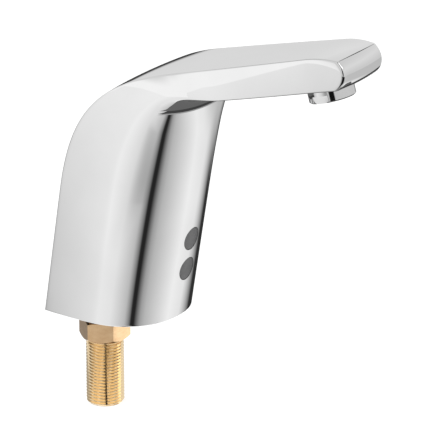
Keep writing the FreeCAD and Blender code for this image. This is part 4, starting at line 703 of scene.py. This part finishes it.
# radius and height of each row, up the outside and back down the inside
RING_PROFILE = [
    (8.6, 0), (np.minimum(to_flat, RING_RADIUS - RING_CHAMFER), 0),     # the mouth's rim
    (to_flat, RING_CHAMFER), (to_flat, FLAT_HEIGHT), (RING_RADIUS, FLAT_HEIGHT),
    (RING_RADIUS, 7.9), (11.3, 7.9), (11.3, 14.5), (9.9, 14.5),         # shoulder and thread
    (9.9, 1.2), (8.6, 1.2),
]
ring_rows = [socket_row(radius, up, ring_turns) for radius, up in RING_PROFILE]
aerator_ring = turned_piece("aerator_ring", ring_rows, "aerator_housing", "chrome_aerator")

# %% [markdown]
# ## Materials
# Every finish is one Principled shader fed by two patterns in real millimetres. The tone
# pattern is coarse and shifts the colour a little, as hands, plating baths and moulds do. The
# texture pattern is fine: it drives the roughness and a bump whose depth is given in
# millimetres. Both read Object coordinates, which every piece shares, so neighbouring parts
# keep one scale. A pattern's marks are as long, wide and high as its three sizes say: marks
# long in two directions and short in the third are turned rings, and marks long in one
# direction are brush lines.

# %% Colour, nodes and patterns
def linear(colour):
    """A hex colour such as 'c9cbce' as linear red, green, blue and one."""
    shares = np.array([int(colour[i:i + 2], 16) for i in (0, 2, 4)]) / 255
    curve = np.where(shares <= 0.04045, shares / 12.92, ((shares + 0.055) / 1.055) ** 2.4)
    return (*curve.tolist(), 1.0)


def add(tree, kind, sockets=None, **settings):
    """Add one node with its settings; each socket takes a value or is linked to an output."""
    node = tree.nodes.new(kind)
    for name, value in settings.items():
        setattr(node, name, value)
    for name, value in (sockets or {}).items():
        if isinstance(value, bpy.types.NodeSocket):
            tree.links.new(value, node.inputs[name])
        else:
            node.inputs[name].default_value = value
    return node


def greatest(tree, outputs):
    """The greatest of several outputs."""
    most, *others = outputs
    for other in others:
        most = add(tree, "ShaderNodeMath", {0: most, 1: other}, operation="MAXIMUM").outputs[0]
    return most


def mixed(tree, share, one, other):
    """Colour one where share is zero, and other where it is one."""
    return add(tree, "ShaderNodeMixRGB", {
        "Fac": share, "Color1": one, "Color2": other}).outputs["Color"]


def map_range(tree, value, old, new=(0.0, 1.0), **settings):
    """Value stretched so that the range old becomes the range new."""
    return add(tree, "ShaderNodeMapRange", {
        "Value": value, "From Min": old[0], "From Max": old[1],
        "To Min": new[0], "To Max": new[1]}, **settings).outputs["Result"]


NOISE, CELLS, WAVES = "ShaderNodeTexNoise", "ShaderNodeTexVoronoi", "ShaderNodeTexWave"
ONE_WAVE = math.pi / 10          # the wave texture's scale at which one wave is one unit long


def pattern(tree, kind, size, turn=0.0, **sockets):
    """A texture whose marks are size millimetres along x, y and z, or one size for all
    three, leant about x by turn degrees."""
    size = (size,) * 3 if isinstance(size, (int, float)) else size
    place = add(tree, "ShaderNodeTexCoord").outputs["Object"]
    leant = add(tree, "ShaderNodeMapping", {
        "Vector": place, "Rotation": (math.radians(turn), 0.0, 0.0)}).outputs["Vector"]
    scaled = add(tree, "ShaderNodeMapping", {
        "Vector": leant, "Scale": tuple(1 / (MM * step) for step in size)}).outputs["Vector"]
    if kind == WAVES:
        along = "XYZ"[int(np.argmin(size))]
        return add(tree, kind, {"Vector": scaled, "Scale": ONE_WAVE, **sockets},
                   bands_direction=along).outputs["Fac"]
    if kind == CELLS:
        return add(tree, kind, {"Vector": scaled, "Scale": 1.0, **sockets}).outputs["Distance"]
    return add(tree, kind, {
        "Vector": scaled, "Scale": 1.0, "Detail": 3.0, **sockets}).outputs["Fac"]


MIDDLE_HALF = (0.25, 0.75)        # where most of a pattern's values lie


def finish(name, colours, roughness, metallic=0.0, tone=(NOISE, 8), texture=(),
           depth=0.0, **shader_sockets):
    """A material: two colours mixed by tone, and a roughness range and bump set by texture."""
    made = bpy.data.materials.new(name)
    made.use_nodes = True
    tree = made.node_tree
    shader = tree.nodes["Principled BSDF"]
    first, second = (linear(c) for c in colours)
    blend = map_range(tree, pattern(tree, *tone), MIDDLE_HALF)
    tree.links.new(mixed(tree, blend, first, second), shader.inputs["Base Color"])
    height = greatest(tree, [pattern(tree, *layer) for layer in texture])
    tree.links.new(map_range(tree, height, MIDDLE_HALF, roughness), shader.inputs["Roughness"])
    bump = add(tree, "ShaderNodeBump", {"Height": height, "Strength": 1.0, "Distance": depth * MM})
    tree.links.new(bump.outputs["Normal"], shader.inputs["Normal"])
    shader.inputs["Metallic"].default_value = metallic
    for socket, value in shader_sockets.items():
        shader.inputs[socket.replace("_", " ")].default_value = value
    return made


print("helpers ready")

# %% [markdown]
# ## Metal finishes
# Chrome plate over polished brass mirrors the room, with a faintly cloudy tone left by the
# mops. Machined brass shows the lathe's rings. Zinc plate is dull and flecked, sheet steel is
# brushed along its length, and drawn wire is streaked along its run.

# %% Metals
RINGS = (400, 400, 0.25)        # lathe marks about the upright axis, 0.25 mm apart
FINISHES = {
    # chrome plate on polished cast brass: a near mirror, very slightly cloudy
    "chrome_shell": finish("polished_chrome_plate", ("e3e3e3", "dedede"), (0.020, 0.032), 1.0,
        (NOISE, 30), [(NOISE, 9)], 0.0004),
    # chrome plate on a turned ring: the same mirror with faint rings left by the lathe
    "chrome_aerator": finish("turned_chrome_plate", ("dcdcdc", "d3d3d3"), (0.045, 0.08), 1.0,
        (NOISE, 12), [(NOISE, (200, 200, 0.35), 16.0)], 0.001),
    # machined brass, bright from the tool: warm, with fine rings and a little bloom
    "shank_brass": finish("machined_brass", ("c9aa84", "bd9c76"), (0.10, 0.18), 1.0,
        (NOISE, (5, 5, 3)), [(NOISE, RINGS)], 0.0012),
    # the same brass cut coarser, so its rings are plainer and it is a shade browner
    "nut_brass": finish("coarse_turned_brass", ("c49a55", "b3873f"), (0.26, 0.42), 1.0, (NOISE, 6),
        [(NOISE, (400, 400, 0.5))], 0.010),
    # zinc plate on pressed steel: pale grey, flecked by the crystals of the bath
    "zinc_plate": finish("zinc_plated_steel", ("a9abae", "8e9296"), (0.32, 0.50), 1.0,
        (CELLS, 2.5), [(NOISE, 0.8)], 0.006),
    # nickelled screw steel: satin, with rings on the heads
    "screw_steel": finish("nickelled_screw_steel", ("b4b5b7", "9a9c9f"), (0.24, 0.40), 1.0,
        (NOISE, 2), [(NOISE, (0.12, 60, 60))], 0.004),
    # ground stainless tube: bright, with grinding rings about its axis
    "tube_steel": finish("ground_stainless", ("bfc0c2", "acadb0"), (0.16, 0.28), 1.0, (NOISE, 4),
        [(NOISE, (400, 400, 0.12))], 0.003),
    # yellow-white zinc on sheet steel, folded: flecked and a little duller than the plate
    "yoke_steel": finish("zinc_plated_sheet", ("95989b", "7d8185"), (0.35, 0.55), 1.0,
        (CELLS, 1.6), [(NOISE, (12, 0.3, 12))], 0.005),
    # drawn spring wire: dark satin, streaked along the coil
    "spring_steel": finish("drawn_spring_wire", ("a5a6a8", "7f8184"), (0.26, 0.42), 1.0,
        (NOISE, 1.2), [(NOISE, (1.5, 1.5, 0.08))], 0.004),
    # woven stainless mesh, drawn coarser than the real 0.3 mm so that its wires show
    "mesh_steel": finish("woven_stainless_mesh", ("b0b1b3", "85878a"), (0.30, 0.55), 1.0,
        (NOISE, 3), [(WAVES, (0.6, 90, 90), 16.0), (WAVES, (90, 0.6, 90), 16.0)], 0.12),
    # brushed stainless sheet: fine lines along the frame's height
    "frame_steel": finish("brushed_stainless_sheet", ("b5b6b8", "9da0a3"), (0.24, 0.42), 1.0,
        (NOISE, 14), [(NOISE, (0.15, 0.15, 24))], 0.005),
    # nickel-plated spring brass: pale gold, brushed from the strip mill
    "contact_brass": finish("plated_spring_brass", ("d2c190", "b8a572"), (0.20, 0.36), 1.0,
        (NOISE, 3), [(NOISE, (10, 0.12, 0.12))], 0.004),
}
print(len(FINISHES), "metal finishes")

# %% [markdown]
# ## Rubber and plastic finishes
# Rubber is dark and soft-looking, because light sinks in before it comes back; a faint bloom
# makes it chalky. Moulded plastics carry the grain that spark erosion leaves in the mould.
# The sensor's windows are polished smoked sheet: dark, glossy and smooth.

# %% Rubbers and plastics
FINISHES.update({
    # moulded sheet rubber: near black, with a chalky bloom
    "foot_rubber": finish("moulded_rubber", ("222223", "2e2e2f"), (0.60, 0.85), 0.0, (NOISE, 4),
        [(NOISE, 0.5)], 0.03),
    # seal rubber from a polished mould: black and a little shinier
    "seal_rubber": finish("seal_rubber_black", ("141415", "1e1e1f"), (0.38, 0.55), 0.0, (NOISE, 2),
        [(NOISE, 0.35)], 0.008),
    # smoked polycarbonate, polished: grey, glossy, with the faint flow of the melt
    "window_plastic": finish("smoked_polycarbonate", ("4d4d4e", "464647"), (0.05, 0.09), 0.0,
        (NOISE, (6, 3, 6)), [(NOISE, 5)], 0.0006, IOR=1.50),
    # nylon filled with glass fibre: dark, dull, with fibres just under the skin
    "valve_plastic": finish("glass_filled_nylon", ("2d2f32", "3a3c40"), (0.42, 0.62), 0.0,
        (NOISE, (0.3, 4, 0.3)), [(NOISE, (0.25, 1.6, 0.25))], 0.012, IOR=1.53),
    # acetal: waxy and off-white, smooth from the mould
    "check_plastic": finish("moulded_acetal", ("e6e4dc", "dad8cf"), (0.30, 0.42), 0.0, (NOISE, 5),
        [(NOISE, 0.6)], 0.008, IOR=1.48),
    # acetal turned after moulding: the same wax with rings
    "piston_plastic": finish("turned_acetal", ("dbd9d1", "cdcbc2"), (0.32, 0.48), 0.0, (NOISE, 4),
        [(NOISE, (200, 200, 0.3))], 0.008, IOR=1.48),
    # polyamide bobbin: dark and slightly grained
    "bobbin_plastic": finish("moulded_polyamide", ("26282c", "303238"), (0.40, 0.56), 0.0,
        (NOISE, 4), [(CELLS, 0.5)], 0.015, IOR=1.53),
    # enamelled copper wire, drawn 0.5 mm thick where the real wire is 0.2, so that turns show
    "coil_enamel": finish("enamelled_copper_winding", ("b5602f", "93431f"), (0.18, 0.34), 0.6,
        (NOISE, (2.5, 2.5, 0.5)), [(WAVES, (90, 90, 0.5))], 0.16, Coat_Weight=0.8,
        Coat_Roughness=0.12),
    # polythene tube: milky, with the faint bands of the extruder
    "hose_plastic": finish("extruded_polythene", ("e2e3e0", "d3d5d1"), (0.30, 0.44), 0.0,
        (NOISE, 6), [(NOISE, (0.7, 0.7, 7))], 0.012, Subsurface_Weight=0.25,
        Subsurface_Scale=0.002, IOR=1.51),
    # the aerator's insert: pale grey acetal, fine-grained
    "insert_plastic": finish("pale_grey_acetal", ("cdcfce", "bec1c0"), (0.30, 0.46), 0.0,
        (NOISE, 3), [(NOISE, 0.4)], 0.01, IOR=1.48),
    # the sensor's housing: black with a spark-eroded grain
    "sensor_plastic": finish("spark_grained_abs", ("1d1e20", "292a2d"), (0.45, 0.65), 0.0,
        (NOISE, 5), [(CELLS, 0.6)], 0.03, IOR=1.54),
    # lacquered glass-fibre board: deep green over a woven cloth of 0.7 mm threads
    "board_green": finish("lacquered_glass_fibre_board", ("1f5c3a", "174a2e"), (0.12, 0.26), 0.0,
        (NOISE, 3), [(WAVES, (0.7, 90, 90)), (WAVES, (90, 90, 0.7))], 0.02, IOR=1.55,
        Coat_Weight=0.5, Coat_Roughness=0.08),
    # the emitter's clear resin, tinted a faint violet
    "emitter_plastic": finish("violet_clear_resin", ("3a3745", "2c2936"), (0.06, 0.12), 0.0,
        (NOISE, 1.5), [(NOISE, 1)], 0.002, IOR=1.55, Transmission_Weight=0.35),
    # the receiver's black daylight-blocking resin
    "receiver_plastic": finish("black_cast_resin", ("19191c", "222226"), (0.08, 0.18), 0.0,
        (NOISE, 1.5), [(NOISE, 0.8)], 0.002, IOR=1.55),
    # the battery box: dark grey with a coarser eroded grain
    "battery_plastic": finish("coarse_grained_abs", ("2c2d2f", "393a3d"), (0.50, 0.70), 0.0,
        (NOISE, 7), [(CELLS, 0.9)], 0.04, IOR=1.54),
    # shrunk sleeve round the cells: slate, semi-gloss, drawn into faint ripples
    "cell_jacket": finish("shrink_sleeve_vinyl", ("565b61", "474b51"), (0.22, 0.36), 0.0,
        (NOISE, (6, 6, 14)), [(NOISE, (1.5, 1.5, 9))], 0.03, IOR=1.53),
})
# painted highlight: below the hexagon the brass is painted paler, for the light on the crests
PAINTED_THREAD_HIGHLIGHT = linear("f2d9b0")
tree = FINISHES["shank_brass"].node_tree
surface = tree.nodes["Principled BSDF"].inputs["Base Color"]
spot = add(tree, "ShaderNodeTexCoord").outputs["Object"]
height = add(tree, "ShaderNodeSeparateXYZ", {0: spot}).outputs["Z"]
# the thread, below the hexagon, takes the painted highlight colour
cut = add(tree, "ShaderNodeMath", {0: height, 1: THREAD_TOP * MM}, operation="LESS_THAN").outputs[0]
tree.links.new(mixed(tree, cut, surface.links[0].from_socket, PAINTED_THREAD_HIGHLIGHT), surface)
print(len(FINISHES), "finishes in all")

# %% Put each finish on its pieces
slot_of = {part["node"]: part["material_slot"] for part in frame["record"]["subparts"]}
for node_name, node in nodes.items():
    node.data.materials.clear()
    node.data.materials.append(FINISHES[slot_of[node_name]])
for piece in (casting, shank, aerator_ring):
    piece.data.materials.append(FINISHES[piece["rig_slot"]])
print("finished", len(nodes), "nodes")

# %% [markdown]
# ## Floor, light and what the chrome sees
# Polished chrome is only as good as the room it mirrors. The floor is a wide pale sheet. The
# world is plain white to the camera and to the mirror, but gives a soft studio light
# elsewhere. Three soft lamps light the floor and the plastics, and no mirror shows them.

# %% Floor and world
def grey_level(share):
    """An even grey as a colour, from 0, black, to 1, white, and brighter above that."""
    return (share, share, share, 1.0)


def empty_look(name):
    """A material with no nodes yet, and its node tree."""
    look = bpy.data.materials.new(name)
    look.use_nodes = True
    look.node_tree.nodes.clear()
    return look, look.node_tree


def seen_ray(tree):
    """One for rays from the camera, off a mirror or through glass, and zero for the rest."""
    rays = add(tree, "ShaderNodeLightPath").outputs
    return greatest(tree, [rays[f"Is {kind} Ray"] for kind in ("Camera", "Glossy", "Transmission")])


FLOOR_HEIGHT = cad_box[0][2]
FLOOR_HALF = 6.0                   # metres
SOFT_LIGHT = 0.75                  # the world's strength where it isn't seen
floor_mesh = bpy.data.meshes.new("floor")
floor_mesh.from_pydata([(x * FLOOR_HALF, y * FLOOR_HALF, FLOOR_HEIGHT)
                        for x, y in ((-1, -1), (1, -1), (1, 1), (-1, 1))], [], [(0, 1, 2, 3)])
floor = placed("floor", floor_mesh)

floor_look, tree = empty_look("pale_paper_floor")
paper = add(tree, "ShaderNodeBsdfDiffuse", {"Color": grey_level(0.85)}).outputs[0]
shade = add(tree, "ShaderNodeBsdfDiffuse", {"Color": grey_level(0.30)}).outputs[0]
glow = add(tree, "ShaderNodeEmission", {"Color": grey_level(1.0), "Strength": 0.80}).outputs[0]
bright = add(tree, "ShaderNodeAddShader", {0: shade, 1: glow}).outputs[0]
both = add(tree, "ShaderNodeMixShader", {0: seen_ray(tree), 1: paper, 2: bright}).outputs[0]
below = add(tree, "ShaderNodeNewGeometry").outputs["Backfacing"]
clear = add(tree, "ShaderNodeBsdfTransparent").outputs[0]
add(tree, "ShaderNodeOutputMaterial", {
    "Surface": add(tree, "ShaderNodeMixShader", {0: below, 1: both, 2: clear}).outputs[0]})
floor_mesh.materials.append(floor_look)
floor.visible_glossy = False       # the paper disc below stands for it in mirrors

world = bpy.data.worlds.new("soft_white_studio")
bpy.context.scene.world = world
world.use_nodes = True
tree = world.node_tree
tree.nodes.clear()
level = map_range(tree, seen_ray(tree), (0.0, 1.0), (SOFT_LIGHT, 1.0))
air = add(tree, "ShaderNodeBackground", {"Color": grey_level(1.0), "Strength": level}).outputs[0]
add(tree, "ShaderNodeOutputWorld", {"Surface": air})
print("floor at", round(FLOOR_HEIGHT / MM, 1), "mm")

# %% Lamps
def lamp(name, azimuth, elevation, distance, size, watts):
    """A square soft lamp on a sphere about the tap, azimuth 0 in front, aimed at its middle."""
    light = bpy.data.lights.new(name, "AREA")
    light.size, light.energy = size, watts
    holder = placed(name, light)
    away = direction(azimuth, elevation)
    holder.location = AIM + away * distance
    holder.rotation_euler = away.to_track_quat("Z", "Y").to_euler()
    holder.visible_glossy = False
    holder.visible_camera = False
    return holder


lamp("key_softbox", -95, 48, 1.6, 1.0, 9.0)
lamp("fill_softbox", 40, 35, 1.8, 1.2, 6.0)
lamp("rim_softbox", 170, 55, 1.8, 1.0, 5.0)

# %% [markdown]
# ## The room in the mirror
# A chrome surface has no look of its own: it is a picture of its room. Studio chrome is shot
# inside a tent of pale paper, with one dark gap for the lens. So two surfaces here are
# seen by mirrors alone. A paper disc lies round the tap, its grey set by the bearing, with
# the dark gap towards the camera; a dome stands over it, its grey set by height. They are a
# third brighter than their greys, because chrome gives back three quarters of the light.

# %% Surfaces that only mirrors see
MIRROR_GAIN = 1.34
DISC_RADIUS, DISC_HEIGHT = 1500.0, -60.4      # mm
DISC_CENTRE = (0.0, -45.0)
DOME_RADIUS = 3000.0


def mirror_only(name, points, faces, tree, look, grey):
    """A mesh from points in mm that shows the output grey, and only in reflections."""
    glow = add(tree, "ShaderNodeEmission", {"Color": grey, "Strength": MIRROR_GAIN})
    add(tree, "ShaderNodeOutputMaterial", {"Surface": glow.outputs[0]})
    mesh = bpy.data.meshes.new(name)
    mesh.from_pydata((np.asarray(points) * MM).tolist(), [], faces)
    mesh.materials.append(look)
    piece = placed(name, mesh)
    piece.visible_camera = piece.visible_diffuse = piece.visible_shadow = False
    piece.visible_transmission = piece.visible_volume_scatter = False
    return piece


def ramp(tree, share, stops):
    """Greys, 0 to 255 as the eye reads them, between places from 0 to 1 along share."""
    node = add(tree, "ShaderNodeValToRGB", {"Fac": share})
    while len(node.color_ramp.elements) < len(stops):
        node.color_ramp.elements.new(0.5)
    for stop, (place, grey) in zip(node.color_ramp.elements, stops):
        stop.position, stop.color = place, linear(f"{grey:02x}" * 3)
    return node.outputs["Color"]


# Bearing in degrees, 0 in front of the tap, and the grey there. The greys were first fitted to
# what the chrome shows in the photograph, and then thinned and rounded to these papers, gaps
# and cloths. Nobody saw the real room: they are one room that gives about that picture.
NEAR_GREYS = [
    (-180, 110), (-160, 100),                                    # shade behind the tap
    (-140, 200), (-118, 230), (-100, 225),                       # a big paper on one side
    (-75, 185), (-66, 115), (-63, 35), (-57, 35), (-53, 95),     # the gap for the lens
    (-45, 155), (-35, 180), (-15, 200), (30, 235), (60, 225),    # papers in front
    (75, 160), (88, 45), (138, 45), (160, 110),                  # a black cloth opposite
]
FAR_GREYS = [
    (-180, 60), (-160, 110), (-150, 160),                        # shade behind the tap
    (-136, 205), (-118, 235), (-98, 215), (-80, 145),            # the big paper
    (-70, 15), (-25, 15),                                        # the gap, wider out here
    (-16, 170), (0, 195), (80, 180),                             # papers in front
    (104, 60), (132, 60), (143, 130), (160, 90),                 # the cloth, light past its end
]
NEAR_END, FAR_START = 300.0, 400.0            # mm from the disc's centre
look, tree = empty_look("paper_disc")
spot = add(tree, "ShaderNodeTexCoord").outputs["Object"]
centred = add(tree, "ShaderNodeMapping", {
    "Vector": spot, "Location": (-DISC_CENTRE[0] * MM, -DISC_CENTRE[1] * MM, 0.0)}).outputs[0]
faced = add(tree, "ShaderNodeMapping", {
    "Vector": centred, "Rotation": (0.0, 0.0, math.pi / 2)}).outputs[0]
bearing = add(tree, "ShaderNodeTexGradient", {"Vector": faced},
              gradient_type="RADIAL").outputs["Fac"]
near, far = (ramp(tree, bearing, [(angle / 360 + 0.5, tone) for angle, tone in greys])
             for greys in (NEAR_GREYS, FAR_GREYS))
out = add(tree, "ShaderNodeVectorMath", {0: centred}, operation="LENGTH").outputs["Value"]
share = map_range(tree, out, (NEAR_END * MM, FAR_START * MM), interpolation_type="SMOOTHSTEP")
grey = mixed(tree, share, near, far)
rim = DISC_RADIUS * heading(full_turn(96))
disc = mirror_only("paper_disc", np.c_[rim, np.full(len(rim), DISC_HEIGHT)],
                   [list(range(len(rim)))], tree, look, grey)


# %% Small cards near the tap
def card(name, corners, brightness):
    """A flat card through corners in mm, of one even brightness, for mirrors only."""
    look, tree = empty_look(name)
    even = add(tree, "ShaderNodeRGB")
    even.outputs[0].default_value = grey_level(brightness)
    return mirror_only(name, corners, [list(range(len(corners)))], tree, look, even.outputs[0])


def level_card(name, x_range, y_range, z, brightness):
    """A level rectangle between two x, two y, at height z, in mm."""
    (x0, x1), (y0, y1) = x_range, y_range
    return card(name, [(x0, y0, z), (x1, y0, z), (x1, y1, z), (x0, y1, z)], brightness)


def bearing_step(azimuth):
    """A unit step away from the shank at a bearing in degrees."""
    turn = math.radians(azimuth)
    return np.array([math.sin(turn), -math.cos(turn)])


def spoke(name, azimuth, half_angle, near, far, z, brightness):
    """A level strip that points away from the shank at a bearing, between two radii."""
    one, other = (bearing_step(azimuth + side * half_angle) for side in (-1, 1))
    return card(name, [(*(step * r), z) for step, r in
                       ((one, near), (one, far), (other, far), (other, near))], brightness)


def standing_card(name, azimuth, distance, top, brightness):
    """An upright card that faces the shank, at a bearing and distance from it."""
    away = bearing_step(azimuth)
    beside = np.array([away[1], -away[0]])
    low, half = -58, 16
    return card(name, [(*(away * distance + beside * a), z) for a, z in
                       ((-half, low), (half, low), (half, top), (-half, top))], brightness)


THROAT_NEAR, THROAT_FAR = -50, -112
THROAT_LEVEL, THROAT_TILT = -56, 0.10      # where a card has its height, and its rise per mm


def throat_card(name, x_range, height, brightness):
    """A card of painted shade under the bend, rising forwards so its edge in the column is
    straight.
    """
    places = [(x, y) for y, turn in ((THROAT_NEAR, 1), (THROAT_FAR, -1)) for x in x_range[::turn]]
    return card(name, [(x, y, height + THROAT_TILT * (THROAT_LEVEL - y)) for x, y in places],
                brightness)


GLOW_RADIUS, GLOW_HEIGHT, GLOW_CENTRE = 85, -60.2, np.array([0.0, -2.0])
# painted shade: dark cards under the spout and nose, seen only in the chrome
throat_card("throat_edge", (-29, 27), 123.7, 0.30)
throat_card("throat_shade", (-29, 27), 124.4, 0.05)
throat_card("throat_pale_shade", (-29, 27), 126.0, 0.12)
level_card("nose_shade", (-30, 30), (-176, -106), 122.0, 0.11)
level_card("nose_shade_line", (12, 80), (-160, -146), 124.0, 0.03)
# painted highlight: a glowing disc under the shank, seen only in mirrors, for the thread's crests
glow_edge = GLOW_RADIUS * heading(full_turn(48)) + GLOW_CENTRE
card("shank_glow", np.c_[glow_edge, np.full(len(glow_edge), GLOW_HEIGHT)], 0.9)
spoke("shank_streak", -51.6, 5.0, 11, 110, -60.0, 0.02)
spoke("shank_hairline", 1.8, 0.8, 11, 110, -60.0, 0.05)
# painted highlight: a card brighter than white, seen only in mirrors, for a bright hexagon face
standing_card("hexagon_highlight_card", 43.5, 60, -20, 1.5)
standing_card("hexagon_shade", 163.5, 50, -18, 0.33)

# %% The dome
look, tree = empty_look("paper_dome")
way = add(tree, "ShaderNodeVectorMath", {0: add(tree, "ShaderNodeTexCoord").outputs["Object"]},
          operation="NORMALIZE").outputs[0]
rise = add(tree, "ShaderNodeSeparateXYZ", {0: way}).outputs["Z"]
climb = map_range(tree, rise, (-1.0, 1.0))
DOME_GREYS = [(-90, 190), (0, 200), (22, 215), (45, 200), (90, 190)]   # by height, the same way
grey = ramp(tree, climb, [((math.sin(math.radians(angle)) + 1) / 2, tone)
                          for angle, tone in DOME_GREYS])
# bearing, elevation, how far it reaches in degrees, how soft its edge is, and its brightness
DOME_PATCHES = [
    (-116, -10, 19, 8, 0.87),    # the bright window paper on the tap's right
    (125, -12, 11, 8, 0.06),     # a dark gap low behind the tap's left
    (-170, -12, 24, 14, 0.08),   # and one straight behind it
    (-57, 6, 15, 4, 0.006),      # the dark gap round the lens, and above it its stand
    (-57, 26, 9, 4, 0.006),
    (-57, 40, 8, 4, 0.006),
    (-57, 53, 7, 4, 0.006),
    (-57, 65, 8, 4, 0.006),
    (-22, 40, 12, 5, 1.7),       # a bright patch beside it, seen only in mirrors: a painted lamp reflection
    (-146, 52, 12, 6, 0.03),     # a dark gap high up, for the line along the panel's edge
    (100, 36, 9, 4, 0.02),       # and one for the line across the nose
]
for azimuth, elevation, reach, soft, tone in DOME_PATCHES:
    toward = direction(azimuth, elevation)
    near = add(tree, "ShaderNodeVectorMath", {0: way, 1: toward},
               operation="DOT_PRODUCT").outputs["Value"]
    rim, core = (math.cos(math.radians(angle)) for angle in (reach, reach - soft))
    share = map_range(tree, near, (rim, core), interpolation_type="SMOOTHSTEP")
    grey = mixed(tree, share, grey, grey_level(tone))
DOME_ROWS, DOME_COLUMNS = 33, 64
rise, turn = np.meshgrid(np.linspace(-math.pi / 2, math.pi / 2, DOME_ROWS),
                         full_turn(DOME_COLUMNS), indexing="ij")
shell = DOME_RADIUS * np.stack([
    np.cos(rise) * np.cos(turn), np.cos(rise) * np.sin(turn), np.sin(rise)], axis=-1)
dome = mirror_only("paper_dome", shell.reshape(-1, 3), rows_of_faces(DOME_ROWS, DOME_COLUMNS),
                   tree, look, grey)
print("disc and dome ready")

# %% [markdown]
# ## The view
# The view transform is Standard, so that a colour shows as it is written.

# %% View
bpy.context.scene.view_settings.view_transform = "Standard"
